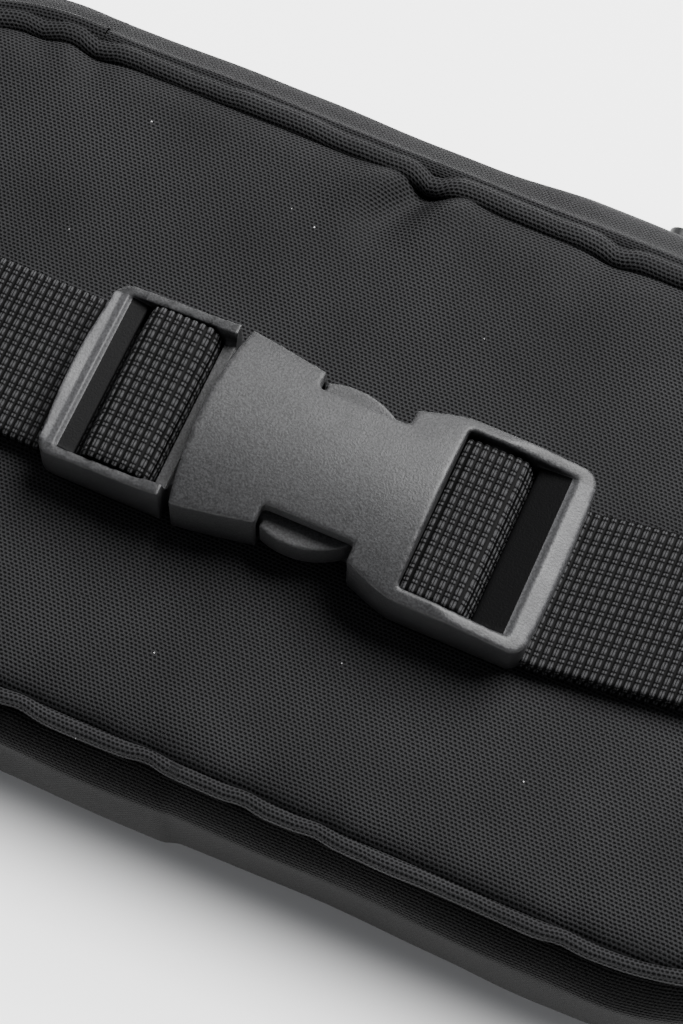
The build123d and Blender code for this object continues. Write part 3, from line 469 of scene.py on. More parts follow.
def grid_faces(columns, rows, start=0):
    """Quads between neighbouring columns of points, each column rows long."""
    faces = []
    for c in range(columns - 1):
        for r in range(rows - 1):
            q = start + c * rows + r
            faces.append((q, q + rows, q + rows + 1, q + 1))
    return faces


def tube_faces(base, along, ring_n):
    """Quads round a closed form of along + 1 rings, and a face over each end."""
    faces = []
    for r in range(along):
        for s in range(ring_n):
            a, b = base + r * ring_n + s, base + r * ring_n + (s + 1) % ring_n
            faces.append((a, b, b + ring_n, a + ring_n))
    faces.append(tuple(base + s for s in range(ring_n))[::-1])
    faces.append(tuple(base + along * ring_n + s for s in range(ring_n)))
    return faces


def solidify(obj, thickness, offset=-1.0):
    m = obj.modifiers.new("thickness", "SOLIDIFY")
    m.thickness = thickness * MM
    m.offset = offset
    m.use_even_offset = False
    return obj


def settle(obj):
    """Applies an object's modifiers."""
    bpy.context.view_layer.update()
    graph = bpy.context.evaluated_depsgraph_get()
    mesh = bpy.data.meshes.new_from_object(obj.evaluated_get(graph))
    obj.modifiers.clear()
    obj.data = mesh
    for p in mesh.polygons:
        p.use_smooth = True


def soften(obj, levels=1):
    m = obj.modifiers.new("soft", "SUBSURF")
    m.levels = m.render_levels = levels


def finish_piece(obj, body, slot, *nodes):
    """Modifiers are applied, so that what rides on the body is the finished mesh."""
    settle(obj)
    if body:
        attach(obj, body)
    if nodes:
        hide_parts(*nodes)
    return obj


# Levels of the gusset from the back seam down to the front seam: height, half length, low, high, corner
LEVELS = [
    (43.6, 107.2, -46.7, 52.7, 44.2),
    (38.5, 111.8, -51.0, 60.6, 48.8),
    (33.5, 113.0, -51.6, 63.3, 50.0),
    (17.5, 113.0, -50.3, 63.5, 50.0),
    (10.6, 107.6, -45.4, 57.6, 44.6),
]
level_rings = [outline(h, lo, hi, r) for _, h, lo, hi, r in LEVELS]
COUNT = len(level_rings[0])
perimeter = [0.0]
for i in range(1, COUNT + 1):
    a, b = level_rings[2][i - 1], level_rings[2][i % COUNT]
    perimeter.append(perimeter[-1] + math.dist(a, b))


def spline(values, t):
    """Catmull-Rom through evenly numbered values."""
    n = len(values)
    i = min(int(t), n - 2)
    f = t - i
    p = [values[max(0, min(n - 1, i + k))] for k in (-1, 0, 1, 2)]
    return 0.5 * (2 * p[1] + (p[2] - p[0]) * f + (2 * p[0] - 5 * p[1] + 4 * p[2] - p[3]) * f * f
                  + (3 * p[1] - p[0] - 3 * p[2] + p[3]) * f ** 3)


def ridge(x, y, seed=0.0):
    return noise.noise(Vector((x, y, seed)))


def body_point(i, t, inset=0.0):
    """Point i of the outline at depth t, 0 at the back seam to 4 at the front seam."""
    z = spline([lv[0] for lv in LEVELS], t)
    x = spline([r[i][0] for r in level_rings], t)
    y = spline([r[i][1] for r in level_rings], t)
    a, b = level_rings[2][i - 1], level_rings[2][(i + 1) % COUNT]
    dx, dy = b[0] - a[0], b[1] - a[1]
    n = math.hypot(dx, dy)
    nx, ny = dy / n, -dx / n
    s = perimeter[i]
    belly = math.sin(math.pi * min(1, t / 4)) ** 0.7
    # vertical gathers close under the back seam, and slack dents lower down
    gather = 0.7 * math.exp(-t / 0.7) * ridge(s * 0.055, t * 0.4, 3.1) * min(1, t * 2.5)
    slack = 1.5 * belly * ridge(s * 0.022, t * 0.45, 7.7) + 0.55 * belly * ridge(s * 0.07, t * 0.9, 1.3)
    pull = min(1.0, max(0.0, abs(ny) - 0.2))
    off = gather + slack * (0.55 if ny > 0.9 and abs(x) < MOUTH else 1.0) * (0.6 + 0.4 * pull) - inset
    # the top side rolls over beside the seam; the bottom side tucks in under it
    over = math.exp(-((t - 0.24) / 0.24) ** 2) * max(0.0, ny)
    off += 1.9 * over
    tuck = 1.2 * math.exp(-t / 0.35) * max(0.0, -ny)
    return (x + nx * off, y + ny * off, z - tuck + 2.4 * over + 0.25 * belly * ridge(s * 0.05, t, 4.4))


T_STEPS = 44


def in_mouth(i):
    x, y = level_rings[2][i]
    return y > 50 and abs(x) <= MOUTH + 0.01


END_X = max(p[0] for i, p in enumerate(level_rings[2]) if in_mouth(i))


def join_cut(obj, x, near=0.35):
    """Takes off the edge faces where two pieces meet in line at x, so that their surfaces run on."""
    settle(obj)
    bm = bmesh.new()
    bm.from_mesh(obj.data)
    cut = [f for f in bm.faces if all(abs(v.co.x / MM - x) < near and v.co.y > 50 * MM for v in f.verts)]
    bmesh.ops.delete(bm, geom=cut, context="FACES")
    bm.to_mesh(obj.data)
    bm.free()


def gusset_piece(name, columns, depths, mat, body, slot, nodes, inset=0.0, thick=FABRIC):
    verts, uvs = [], []
    for i in columns:
        last = None
        v_len = 0.0
        for t in depths:
            p = body_point(i % COUNT, t, inset)
            if last is not None:
                v_len += math.dist(p, last)
            last = p
            verts.append(p)
            uvs.append((perimeter[i % COUNT] + (perimeter[COUNT] if i >= COUNT else 0), v_len))
    obj = new_piece(name, verts, grid_faces(len(columns), len(depths)), mat, uvs)
    solidify(obj, thick, -1)
    join_cut(obj, END_X)
    join_cut(obj, -END_X)
    soften(obj)
    finish_piece(obj, body, slot, *nodes)
    return obj


first_mouth = next(i for i in range(COUNT) if in_mouth(i))
last_mouth = max(i for i in range(COUNT) if in_mouth(i))
middle = (first_mouth + last_mouth) // 2
wall_columns = list(range(last_mouth, first_mouth + COUNT + 1))
full = [4 * k / T_STEPS for k in range(T_STEPS + 1)]
gusset_piece("gusset_cloth_wall", wall_columns, full, gusset_cloth, "bag", "shell_cloth", ["gusset_wall"])
gusset_piece("gusset_lining_cloth", wall_columns, [0.25 + 3.6 * k / 12 for k in range(13)], lining_cloth, "bag",
             "lining_cloth", ["gusset_lining"], 1.9, 0.5)


def depth_for(z):
    lo, hi = 0.0, 4.0
    for _ in range(30):
        mid = (lo + hi) / 2
        if spline([lv[0] for lv in LEVELS], mid) > z:
            lo = mid
        else:
            hi = mid
    return (lo + hi) / 2


# ---- Mouth of the main compartment: two cloth strips, their zip tapes and the coil.
# Each is made in two halves that meet in the middle, sewn down at the ends.
strip_back_t = [depth_for(43.6 - (43.6 - 32.0) * k / 12) for k in range(13)]
strip_front_t = [depth_for(19.0 - (19.0 - 10.6) * k / 10) for k in range(11)]
halves = (("right", list(range(first_mouth, middle + 1)), 1), ("left", list(range(middle, last_mouth + 1)), -1))


def zip_bulge(x):
    """The zip stands out a little where the cloth is slack, right of the middle."""
    t = max(0.0, min(1.0, (x - 2) / 16)) * max(0.0, min(1.0, (50 - x) / 10))
    return 2.6 * t * t * (3 - 2 * t)


def tape_surface(x, z, out=0.0):
    y = 62.0 + zip_bulge(x) * math.exp(-((z - ZIP_Z) / 9) ** 2) + 0.25 * ridge(x * 0.06, z * 0.05, 9.0)
    return (x, y + out, z + 0.35 * ridge(x * 0.05, 0, 5.0))


def tape_piece(name, x0, x1, z0, z1):
    nx, nz = int(abs(x1 - x0) / 1.5), 8
    verts, uvs = [], []
    for a in range(nx + 1):
        for b in range(nz + 1):
            x, z = x0 + (x1 - x0) * a / nx, z0 + (z1 - z0) * b / nz
            verts.append(tape_surface(x, z))
            uvs.append((x, z))
    obj = new_piece(name, verts, grid_faces(nx + 1, nz + 1), tape_cloth, uvs)
    solidify(obj, 0.6, 0)
    return obj


def coil_piece(name, x0, x1, side):
    """One row of a coil zip: a bead for every turn, leaning over the tape's edge."""
    pitch = 1.35
    verts, faces, uvs = [], [], []
    count = int(abs(x1 - x0) / pitch)
    for k in range(count):
        x = min(x0, x1) + pitch * (k + (0.25 if side > 0 else 0.75))
        ring_n, along = 8, 5
        base = len(verts)
        for r in range(along + 1):
            f = r / along
            z = ZIP_Z + side * (-0.35 + 3.1 * f)
            fat = 0.50 * (1.25 - 0.5 * abs(f - 0.12)) if r not in (0, along) else 0.22
            lean = 0.35 * f * side
            for s in range(ring_n):
                a = 2 * math.pi * s / ring_n
                px, py, pz = tape_surface(x + lean, z, 0.95)
                verts.append((px + fat * math.cos(a), py + fat * 1.6 * math.sin(a), pz))
                uvs.append((x, f * 3))
        faces += tube_faces(base, along, ring_n)
    return new_piece(name, verts, faces, coil_mat, uvs)


def mouth_half(obj, lip, side, slot, *nodes):
    # Applies the half's modifiers and bakes its transform. On the left the slider comes to rest over the last
    # stretch of coil, which stays shut.
    finish_piece(obj, None, slot, *nodes)
    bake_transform(obj)


for word, columns, side in halves:
    for lip, depths, z0, z1, sign in (
        ("lip_back", strip_back_t, ZIP_Z + 1.5, ZIP_Z + 8.0, 1),
        ("lip_front", strip_front_t, ZIP_Z - 1.5, ZIP_Z - 8.0, -1),
    ):
        where = lip[4:]
        verts, uvs = [], []
        for i in columns:
            v_len, last = 0.0, None
            for t in depths:
                p = list(body_point(i, t))
                near = math.exp(-abs(p[2] - ZIP_Z - sign * 6.5) / 5)
                p[1] += zip_bulge(p[0]) * near
                v_len += math.dist(p, last) if last else 0
                last = p
                verts.append(p)
                uvs.append((perimeter[i], v_len))
        faces = grid_faces(len(columns), len(depths))
        strip = new_piece("strip_" + where + "_" + word, verts, faces, gusset_cloth, uvs)
        solidify(strip, FABRIC, -1)
        join_cut(strip, 0)
        join_cut(strip, side * END_X)
        soften(strip)
        mouth_half(strip, lip, side, "shell_cloth", "zip_strip_" + where)
        tape = tape_piece("tape_" + where + "_" + word, 0, side * (MOUTH - 0.8), z0, z1)
        mouth_half(tape, lip, side, "zip_tape", "zip_tape_" + where)
        far = 56.0 if side > 0 else 60.0
        coil = coil_piece("coil_" + where + "_" + word, 0, side * far, sign)
        mouth_half(coil, lip, side, "zip_teeth", "zip_teeth_" + where)


# ---- Back panel: woven nylon over a foam pad, drawn down to the seam all round, with slack near the kinks.
# Its rings run in from the seam to a spine along the middle, and folds are added to their heights.
PANEL_RING = outline(BACK_HALF, BACK_BOTTOM, BACK_TOP, BACK_R)
SPINE = 52.0
PANEL_Y = (BACK_TOP + BACK_BOTTOM) / 2
# folds: where they start on the seam, where they run to, how wide and how deep
FOLDS = (
    ((-4, 52), (-11, 38), 3.4, -4.0), ((1, 52), (-4, 40), 2.8, 2.0), ((-9, 52), (-17, 41), 3.4, 1.8),
    ((26, 52), (20, 42), 2.8, -1.2), ((-60, 52), (-57, 43), 3.2, -1.4), ((-69, 52), (-66, 45), 2.6, -1.0),
    ((-64, 52), (-61, 45), 2.2, 0.7), ((-5, -46), (-8, -40), 2.5, -0.5),
    ((10, -46), (13, -40), 2.5, -0.5), ((-25, -46), (-22, -39), 2.8, -0.5), ((21, -46), (20, -39), 2.2, -0.5),
    ((60, -46), (52, -36), 3.5, -0.6), ((48, 52), (44, 43), 3.0, -0.6),
)


def fold_height(x, y):
    h = 0.0
    for (ax, ay), (bx, by), wide, deep in FOLDS:
        dx, dy = bx - ax, by - ay
        length2 = dx * dx + dy * dy
        t = ((x - ax) * dx + (y - ay) * dy) / length2
        tc = max(-0.2, min(1.2, t))
        d = math.hypot(x - ax - dx * tc, y - ay - dy * tc)
        fade = max(0.0, 1 - max(0.0, t)) ** 0.8
        h += deep * fade * math.exp(-(d / wide) ** 2)
    return h


def panel_height(x, y, edge):
    """Height of the outer face, edge millimetres in from the seam."""
    dip = 3.2 * math.exp(-(edge / 1.7) ** 1.15)
    crown = 0.55 * (1 - math.exp(-edge / 16))
    slack = 0.35 * ridge(x * 0.03, y * 0.045, 2.0) + 0.18 * ridge(x * 0.09, y * 0.11, 8.0)
    gather = 0.25 * math.exp(-edge / 7) * ridge(x * 0.07 + y * 0.02, y * 0.05, 6.0)
    return BACK_Z + 0.1 + crown - dip + slack * (1 - math.exp(-edge / 5)) + gather + fold_height(x, y)


def panel_piece():
    depths = [0, 0.5, 1.0, 1.6, 2.3, 3.1, 4.0, 5.0, 6.2, 7.6, 9.2, 11,
              13, 15.5, 18, 21, 24, 27, 30.5, 34, 38, 42, 46]
    verts, faces = [], []
    rings = []
    for k, d in enumerate(depths):
        ring = []
        for (x, y) in PANEL_RING:
            mx, my = max(-SPINE, min(SPINE, x)), PANEL_Y
            reach = math.hypot(x - mx, y - my)
            f = max(0.0, 1 - d / reach) if k < len(depths) - 1 else 0.0
            px, py = mx + (x - mx) * f, my + (y - my) * f
            ring.append(len(verts))
            verts.append((px, py, panel_height(px, py, min(d, reach))))
        rings.append(ring)
    for a, b in zip(rings, rings[1:]):
        for i in range(COUNT):
            j = (i + 1) % COUNT
            faces.append((a[i], a[j], b[j], b[i]))
    mesh_uv = [(v[0], v[1]) for v in verts]
    obj = new_piece("back_panel_cloth", verts, faces, shell_cloth, mesh_uv)
    bm = bmesh.new()
    bm.from_mesh(obj.data)
    bmesh.ops.remove_doubles(bm, verts=bm.verts, dist=0.00005)
    bm.to_mesh(obj.data)
    bm.free()
    if obj.data.polygons[len(obj.data.polygons) // 2].normal.z < 0:
        obj.data.flip_normals()
    solidify(obj, 1.1, -1)
    soften(obj)
    finish_piece(obj, "bag", "shell_cloth", "back_panel")
    return obj


back_cloth = panel_piece()


def slab(name, half_x, low_y, high_y, r, z0, z1, soft, mat, body, slot, nodes, cut=None):
    """A flat piece with rolled edges."""
    verts = []
    steps = [(0.0, soft), (soft * 0.3, soft * 0.3), (soft, 0.0)]
    profile = [(z0 + a, b) for a, b in steps] + [(z1 - a, b) for a, b in reversed(steps)]
    for z, inset in profile:
        ring = outline(half_x - inset, low_y + inset, high_y - inset, r - inset, 0.35)
        verts += [(x, y, z) for x, y in ring]
    faces = tube_faces(0, len(profile) - 1, len(ring))
    obj = new_piece(name, verts, faces, mat, [(v[0], v[1] + v[2]) for v in verts])
    finish_piece(obj, body, slot, *nodes)
    return obj


slab("foam_pad", 101.6, -41.1, 47.1, 38.5, 39.9, 42.9, 1.2, foam_mat, "bag", "foam", ["back_foam"])
slab("back_lining_cloth", 103.1, -42.6, 48.6, 40.0, 39.1, 39.8, 0.25, lining_cloth, "bag", "lining_cloth",
     ["back_lining"])
slab("front_lining_cloth", 100.0, -38.2, 50.4, 37.0, 11.1, 11.7, 0.25, lining_cloth, "bag", "lining_cloth",
     ["front_lining"])


# ---- Rolled seam edges: the gusset is turned over its seam allowance, making a soft roll with small kinks.
# Each roll is a tube along a seam's outline; the back one is thicker along the bag's top side.
def roll(name, ring, z, radius, mat, body, slot, nodes, bumpy=0.3, kinks=()):
    n, m = len(ring), 14
    verts, faces, uvs = [], [], []
    run = 0.0
    for i in range(n):
        a, b = ring[i - 1], ring[(i + 1) % n]
        x, y = ring[i]
        run += math.dist(ring[i - 1], ring[i]) if i else 0
        dx, dy = b[0] - a[0], b[1] - a[1]
        k = math.hypot(dx, dy)
        nx, ny = dy / k, -dx / k
        r = radius(x, y, nx, ny) * (1 + bumpy * ridge(run * 0.06, 0, 2.5) + 0.3 * bumpy * ridge(run * 0.2, 0, 6.5))
        shift = 0.2 * ridge(run * 0.04, 3.0, 1.5)
        for kx, ky, deep in kinks:
            q = deep * math.exp(-((x - kx) ** 2 + (y - ky) ** 2) / 5.0)
            r *= 1 - 0.35 * q
            shift -= q * 0.9
        for s in range(m):
            t = 2 * math.pi * s / m
            o = r * math.cos(t) + shift + r - 1.2
            verts.append((x + nx * o, y + ny * o, z + r * math.sin(t) * 0.95 - 0.25 * abs(shift)))
            uvs.append((run, r * t * 0.9))
    for i in range(n):
        j = (i + 1) % n
        for s in range(m):
            q = (s + 1) % m
            faces.append((i * m + s, j * m + s, j * m + q, i * m + q))
    obj = new_piece(name, verts, faces, mat, uvs)
    finish_piece(obj, body, slot, *nodes)
    return obj


KINKS = ((-4, 52, 0.65), (26, 52, 0.4), (-60, 52, 0.45), (-69, 52, 0.35), (-25, -47, 0.28), (-5, -47, 0.3),
         (10, -47, 0.3), (21, -47, 0.28), (58, -47, 0.3))
roll("back_seam_roll", PANEL_RING, 43.4, lambda x, y, nx, ny: 1.3 + 0.85 * max(0.0, ny), shell_cloth, "bag",
     "shell_cloth", ["back_piping"], 0.13, KINKS)
FRONT_RING = outline(107.0, -45.0, 57.5, 44.0)
roll("front_seam_roll", FRONT_RING, 11.0, lambda x, y, nx, ny: 1.2, gusset_cloth, "bag",
     "shell_cloth", ["seam_binding"], 0.2)
slab("front_panel_cloth", 107.0, -45.0, 57.5, 44.0, 9.8, 11.0, 0.5, shell_cloth, "bag", "shell_cloth",
     ["front_panel"])


# ---- Front pocket: an outer panel and a low wall, with a fine zip along its top edge.
# It lies under the bag against the table, so its panel is flat, and its wall is about 10 mm high.
def pocket_outer():
    profile = [(0.02, 24), (0.0, 12), (0.0, 6), (0.15, 2.6), (0.8, 0.7), (2.2, -0.1), (4.2, -0.5), (6.5, -0.5),
               (8.6, -0.1), (9.8, 0.4)]
    verts, faces, levels, uvs = [], [], [], []
    run = 0.0
    for k, (z, inset) in enumerate(profile):
        if k:
            run += math.hypot(z - profile[k - 1][0], inset - profile[k - 1][1])
        ring = outline(86.0 - inset, -40.6 + inset, 36.0 - inset, 32.0 - inset, 0.6)
        levels.append(len(verts))
        s = 0.0
        for i, (x, y) in enumerate(ring):
            s += math.dist(ring[i - 1], ring[i]) if i else 0
            wave = 0.25 * ridge(s * 0.05, z * 0.2, 5.5) if 0.5 < z < 9.5 else 0.0
            verts.append((x + wave * 0.6, y + wave, z))
            uvs.append((s, run) if k > 3 else (x, y))
    n = len(verts) // len(profile)
    for a, b in zip(levels, levels[1:]):
        for i in range(n):
            j = (i + 1) % n
            x, y, z = verts[a + i]
            if y > 30 and abs(x) < 51.5 and z > 1.9 and abs(verts[a + j][0]) < 51.5:
                continue
            faces.append((a + i, a + j, b + j, b + i))
    faces.append(tuple(levels[0] + i for i in range(n))[::-1])
    obj = new_piece("pocket_cloth", verts, faces, gusset_cloth, uvs)
    solidify(obj, 0.9, -1)
    finish_piece(obj, "bag", "shell_cloth", "pocket_panel", "pocket_wall")


pocket_outer()


def strip_grid(name, x0, x1, y, z0, z1, mat, slot, nodes, thick=0.6):
    nx, nz = int((x1 - x0) / 2), 6
    verts = [(x0 + (x1 - x0) * a / nx, y + 0.12 * ridge(a * 0.3, b * 0.4, 3.3), z0 + (z1 - z0) * b / nz)
             for a in range(nx + 1) for b in range(nz + 1)]
    obj = new_piece(name, verts, grid_faces(nx + 1, nz + 1), mat, [(v[0], v[2]) for v in verts])
    solidify(obj, thick, 0)
    return finish_piece(obj, "bag", slot, *nodes)


strip_grid("pocket_tape", -51.5, 51.5, 35.4, 1.6, 9.8, tape_cloth, "zip_tape", ["pocket_zip_tape"])


def pocket_coil():
    pitch, verts, faces, uvs = 1.0, [], [], []
    for side in (-1, 1):
        for k in range(int(100 / pitch)):
            x = -50 + pitch * (k + (0.25 if side > 0 else 0.75))
            base, ring_n, along = len(verts), 8, 4
            for r in range(along + 1):
                f = r / along
                fat = 0.36 if 0 < r < along else 0.16
                for s in range(ring_n):
                    a = 2 * math.pi * s / ring_n
                    verts.append((x + fat * math.cos(a) + 0.2 * f * side, 36.45 + fat * 1.7 * math.sin(a),
                                  5.5 + side * (-0.2 + 1.9 * f)))
                    uvs.append((x, f))
            faces += tube_faces(base, along, ring_n)
    obj = new_piece("pocket_coil", verts, faces, coil_mat, uvs)
    finish_piece(obj, "bag", "zip_teeth", "pocket_zip_teeth")


pocket_coil()


# ---- Moulded and die-cast parts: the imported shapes, with their edges rounded as a moulding's are.
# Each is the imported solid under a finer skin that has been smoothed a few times.
def rounded(node, new_name, body, slot, mat, voxel=0.3, passes=6, shape=None):
    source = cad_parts[node]
    obj = bpy.data.objects.new(new_name, source.data.copy())
    scene.collection.objects.link(obj)
    obj.data.materials.clear()
    obj.data.materials.append(mat)
    m = obj.modifiers.new("skin", "REMESH")
    m.mode = "VOXEL"
    m.voxel_size = voxel * MM
    m.use_smooth_shade = True
    s = obj.modifiers.new("round", "SMOOTH")
    s.factor = 0.5
    s.iterations = passes
    if shape:
        settle(obj)
        for v in obj.data.vertices:
            v.co = Vector(shape(*(v.co / MM))) * MM
    finish_piece(obj, body, slot, node)
    return obj


def male_shape(x, y, z):
    """The shoulder is thinner and lower where the webbing turns down in front of it."""
    if abs(y) < 12.7 and -21.6 < x < -17.3:
        side = min(1.0, (12.7 - abs(y)) / 0.5)
        x += side * max(0.0, -19.7 - x)
        z -= side * max(0.0, z - 53.0) * 0.85 * smooth01((-17.3 - x) / 0.6)
    if x < -36.4 and z > 52.5 and abs(y) < 13.5:
        z += (-36.4 - x) * 0.55 * smooth01((13.5 - abs(y)) / 1.5)
    return x, y, z


def smooth01(t):
    t = max(0.0, min(1.0, t))
    return t * t * (3 - 2 * t)


rounded("buckle_female", "buckle_housing", "bag", "buckle_plastic", buckle_mat, 0.33, 7)
rounded("buckle_male", "buckle_male_half", "male_half", "buckle_plastic", buckle_mat, 0.3, 6, male_shape)
rounded("prong_upper", "buckle_prong_upper", "prong_upper", "buckle_plastic", buckle_mat, 0.22, 6)
rounded("prong_lower", "buckle_prong_lower", "prong_lower", "buckle_plastic", buckle_mat, 0.22, 6)
rounded("zip_slider", "main_slider", "slider", "slider_metal", metal_mat, 0.15, 4)
rounded("zip_pull", "main_pull", "pull", "pull_plastic", pull_mat, 0.16, 5)
rounded("zip_stops", "main_stops", "bag", "slider_metal", metal_mat, 0.12, 3)
rounded("pocket_slider", "fine_slider", "pocket_slider", "slider_metal", metal_mat, 0.12, 4)
rounded("pocket_pull", "fine_pull", "pocket_pull", "pull_plastic", pull_mat, 0.13, 5)


# ---- Belt webbing: 25 mm nylon, woven with real ribs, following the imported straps' routes.
# Ribs and beads are in the mesh. Each strap is made in two lengths that meet where the belt folds back.
STEP = RIB / 4
WEB_THICK, WEB_HALF = 1.35, 12.4
SIDE_Z = 28.52


def rounded_path(points, radii, step):
    """A polyline in x and z with its corners rounded, as evenly spaced points."""
    pts = [Vector(p) for p in points]
    dense = [pts[0]]
    for i in range(1, len(pts) - 1):
        p, r = pts[i], radii[i - 1]
        a, b = (pts[i - 1] - p).normalized(), (pts[i + 1] - p).normalized()
        half = a.angle(b) / 2
        reach = r / math.tan(half)
        centre = p + (a + b).normalized() * (r / math.sin(half))
        u, v = p + a * reach - centre, p + b * reach - centre
        start = math.atan2(u.y, u.x)
        turn = (math.atan2(v.y, v.x) - start + math.pi) % (2 * math.pi) - math.pi
        for k in range(17):
            angle = start + turn * k / 16
            dense.append(centre + Vector((math.cos(angle), math.sin(angle))) * r)
    dense.append(pts[-1])
    lengths = [0.0]
    for a, b in zip(dense, dense[1:]):
        lengths.append(lengths[-1] + (b - a).length)
    count = int(lengths[-1] / step)
    out, j = [], 0
    for k in range(count + 1):
        s = lengths[-1] * k / count
        while j < len(dense) - 2 and lengths[j + 1] < s:
            j += 1
        span = max(1e-9, lengths[j + 1] - lengths[j])
        out.append(dense[j].lerp(dense[j + 1], (s - lengths[j]) / span))
    return out


def web_piece(name, points, radii, sway=None, across=46, fine=1, thick=WEB_THICK, waves=0.12):
    path = rounded_path(points, radii, STEP * fine)
    n = len(path)
    ring_n = across * 2 + 2
    verts, uvs = [], []
    for k, p in enumerate(path):
        a, b = path[max(0, k - 1)], path[min(n - 1, k + 1)]
        t = (b - a).normalized()
        nx, nz = -t.y, t.x
        s = k * STEP * fine
        hump = abs(math.sin(math.pi * s / RIB)) ** 1.3
        off, roll_deg = sway(p.x, s) if sway else (0.0, 0.0)
        for face in (1, -1):
            for c in range(across + 1):
                v = -WEB_HALF + 2 * WEB_HALF * c / across
                v = v * face
                bead = (v + 40) / BEAD % 1.0
                wide = abs(math.sin(math.pi * bead / 0.66)) ** 0.5 if bead < 0.66 else \
                    0.9 * math.sin(math.pi * (bead - 0.66) / 0.34)
                edge = (abs(v) / WEB_HALF) ** 8
                lift = face * (thick / 2 - 0.34 + 0.34 * hump * (0.6 + 0.4 * wide)) * (1 - 0.35 * edge)
                lift += waves * ridge(s * 0.05, v * 0.05, 2.2)
                loop = v * (1 + 0.014 * hump * edge)
                y = loop + off + 0.15 * ridge(s * 0.04, 0, 6.1)
                twist = math.radians(roll_deg) * loop
                verts.append((p.x + nx * lift, y, p.y + nz * lift + twist))
                uvs.append((s, v + 13.2 * (face < 0)))
    return new_piece(name, verts, tube_faces(0, n - 1, ring_n), web_mat, uvs)


def low_route(s):
    """From inside the side tab down to the table and out to where the belt folds back."""
    pts = [(124, SIDE_Z), (149.6, SIDE_Z), (161.6, 0.8), (214, 0.8)]
    return [(s * x, z) for x, z in pts], [8, 10]


def high_route(s, bar):
    """Back from the fold, up over the panel, through the buckle and out again as the free end."""
    pts = [(213, 0.8), (221, 0.8), (221, 18.8), (163.4, 21.0), (144.6, 37.7), (119, 48.7), (95, 47.7),
           (bar - 11.2, 47.7), (bar - 11.2, 55.7), (bar - 1.6, 55.7), (bar + 0.35, 49.3), (97, 49.5)]
    return [(s * x, z) for x, z in pts], [7.9, 8.6, 16, 16, 16, 30, 2.3, 2.3, 1.6, 1.5]


def right_sway(x, s):
    """The right strap leaves the buckle against one side of its slot, then angles across and straightens."""
    if x < 27:
        return -0.5, 0.0
    slant = smooth01((x - 34) / 10) * (min(x, 92) - 39) if x > 39 else 0
    out = -0.5 - 0.9 * smooth01((x - 27) / 8) + 0.155 * slant
    return out * (1 - smooth01((x - 92) / 40)), 2.0 * smooth01((x - 34) / 12) * (1 - smooth01((x - 70) / 20))


for s, word in ((-1, "left"), (1, "right")):
    low = web_piece("webbing_low_" + word, *low_route(s), None, 46)
    if s < 0:
        finish_piece(low, None, "webbing", "strap_left_ear")
        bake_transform(low)
    else:
        finish_piece(low, "bag", "webbing", "strap_right_ear")
finish_piece(web_piece("webbing_run_left", *high_route(-1, 31.85), None, 34), "male_half", "webbing",
             "strap_left_run")
finish_piece(web_piece("webbing_run_right", *high_route(1, 29.15), right_sway, 34), "bag", "webbing",
             "strap_right_run")


# ---- Elastic keepers: a woven elastic loop round both layers of each strap.
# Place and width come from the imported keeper. The right one follows the strap's slant.
def keeper(name, node, body, off=0.0):
    lo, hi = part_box(node)
    x0, x1 = lo.x / MM, hi.x / MM
    hy, z0, z1 = (hi.y - lo.y) / 2 / MM - 0.4, lo.z / MM + 0.4, hi.z / MM - 0.4
    r = (z1 - z0) / 2
    section = []
    for k in range(33):
        section.append((-hy + r + 2 * (hy - r) * k / 32, z1))
    for k in range(1, 12):
        a = math.pi / 2 - math.pi * k / 12
        section.append((hy - r + r * math.cos(a), z0 + r + r * math.sin(a)))
    for k in range(33):
        section.append((hy - r - 2 * (hy - r) * k / 32, z0))
    for k in range(1, 12):
        a = -math.pi / 2 - math.pi * k / 12
        section.append((-hy + r + r * math.cos(a), z0 + r + r * math.sin(a)))
    n, m = len(section), 10
    verts, uvs, faces = [], [], []
    run = 0.0
    for i, (y, z) in enumerate(section):
        run += math.dist(section[i - 1], section[i]) if i else 0
        for c in range(m + 1):
            x = x0 + (x1 - x0) * c / m + 0.15 * ridge(run * 0.3, c * 0.2, 5.0)
            verts.append((x, y + off, z + 0.08 * ridge(run * 0.2, c * 0.3, 1.1)))
            uvs.append((run, x))
    for i in range(n):
        j = (i + 1) % n
        for c in range(m):
            faces.append((i * (m + 1) + c, j * (m + 1) + c, j * (m + 1) + c + 1, i * (m + 1) + c + 1))
    obj = new_piece(name, verts, faces, elastic_cloth, uvs)
    solidify(obj, 0.8, 0)
    return finish_piece(obj, body, "elastic", node)


keeper("elastic_keeper_left", "keeper_left", "male_half")
keeper("elastic_keeper_right", "keeper_right", "bag", right_sway(87, 0)[0])


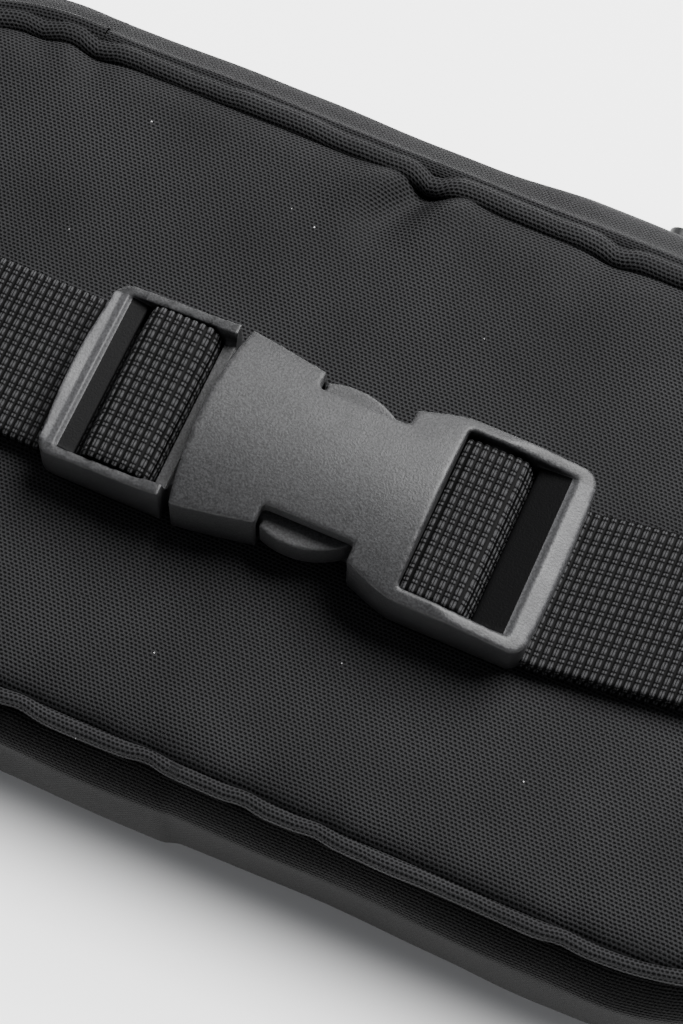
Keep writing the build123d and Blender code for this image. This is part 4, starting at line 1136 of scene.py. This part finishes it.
# ---- Side tabs: folded shell cloth, tapering from the gusset to the belt, boxed with lockstitch.
# The stitches are short separate threads along the tab's edges and across its end.
def tab_piece(s, word):
    nx, ny = 18, 30
    verts, uvs, faces = [], [], []
    x0, x1 = 112.8, 140.4
    for face in (1, -1):
        for a in range(nx + 1):
            t = a / nx
            half = 26 + (14.6 - 26) * t
            for b in range(ny + 1):
                w = (-1 + 2 * b / ny)
                edge = min(1.0, (1 - abs(w)) * half / 1.6)
                end = min(1.0, (1 - t) * (x1 - x0) / 1.4)
                puff = 1.5 * (edge * (2 - edge)) ** 0.5 * (end * (2 - end)) ** 0.5
                seam = 0.35 * math.exp(-(((1 - abs(w)) * half - 3.2) / 0.8) ** 2)
                y = w * half
                z = SIDE_Z + face * (0.10 + puff - seam) + 0.25 * ridge(t * 3, y * 0.09, 3.3)
                verts.append((s * (x0 + (x1 - x0) * t), y, z))
                uvs.append((s * (x0 + (x1 - x0) * t), y))
    per = (nx + 1) * (ny + 1)
    for f in range(2):
        faces += grid_faces(nx + 1, ny + 1, f * per)
    rim = [a * (ny + 1) for a in range(nx + 1)] + [nx * (ny + 1) + b for b in range(1, ny + 1)] \
        + [a * (ny + 1) + ny for a in range(nx - 1, -1, -1)] + [b for b in range(ny - 1, 0, -1)]
    for i, q in enumerate(rim):
        p = rim[(i + 1) % len(rim)]
        faces.append((q, p, p + per, q + per))
    obj = new_piece("side_tab_cloth_" + word, verts, faces, gusset_cloth, uvs)
    soften(obj)
    return finish_piece(obj, "bag", "shell_cloth", "side_tab_" + word)


def stitch_line(name, points, mat, body, slot, pitch=3.0, gap=0.7, fat=0.24):
    """Lockstitch: short rounded threads end to end along a line."""
    verts, faces = [], []
    lengths = [0.0]
    for a, b in zip(points, points[1:]):
        lengths.append(lengths[-1] + math.dist(a, b))

    def at(s):
        s = max(0.0, min(lengths[-1], s))
        j = max(k for k in range(len(points) - 1) if lengths[k] <= s + 1e-9)
        f = (s - lengths[j]) / max(1e-9, lengths[j + 1] - lengths[j])
        return Vector(points[j]).lerp(Vector(points[j + 1]), f)

    for k in range(int(lengths[-1] / pitch)):
        s0 = k * pitch + gap / 2
        base, ring_n, along = len(verts), 6, 4
        for r in range(along + 1):
            f = r / along
            p = at(s0 + (pitch - gap) * f)
            d = (at(s0 + (pitch - gap) * f + 0.1) - at(s0 + (pitch - gap) * f - 0.1)).normalized()
            side = Vector((0, 0, 1)).cross(d).normalized() if abs(d.z) < 0.9 else Vector((0, 1, 0))
            top = d.cross(side)
            w = fat * (0.35 + 0.65 * math.sin(math.pi * (0.12 + 0.76 * f)))
            rise = 0.12 * math.sin(math.pi * f)
            for c in range(ring_n):
                a = 2 * math.pi * c / ring_n
                q = p + side * (w * math.cos(a)) + top * (w * math.sin(a) + rise)
                verts.append(tuple(q))
        faces += tube_faces(base, along, ring_n)
    obj = new_piece(name, verts, faces, mat)
    return finish_piece(obj, body, slot)


thread_mat = moulded("sewing_thread", 0.03, 0.6, 8.0, 0.3)
for s, word in ((-1, "left"), (1, "right")):
    tab_piece(s, word)
    for f in (1, -1):
        z = SIDE_Z + f * 1.42
        line = [(s * 115, -21.6, z), (s * 136.4, -12.3, z), (s * 136.4, 12.3, z), (s * 115, 21.6, z)]
        stitch_line(f"tab_stitch_{word}_{'top' if f > 0 else 'under'}", line, thread_mat, "bag", "shell_cloth")
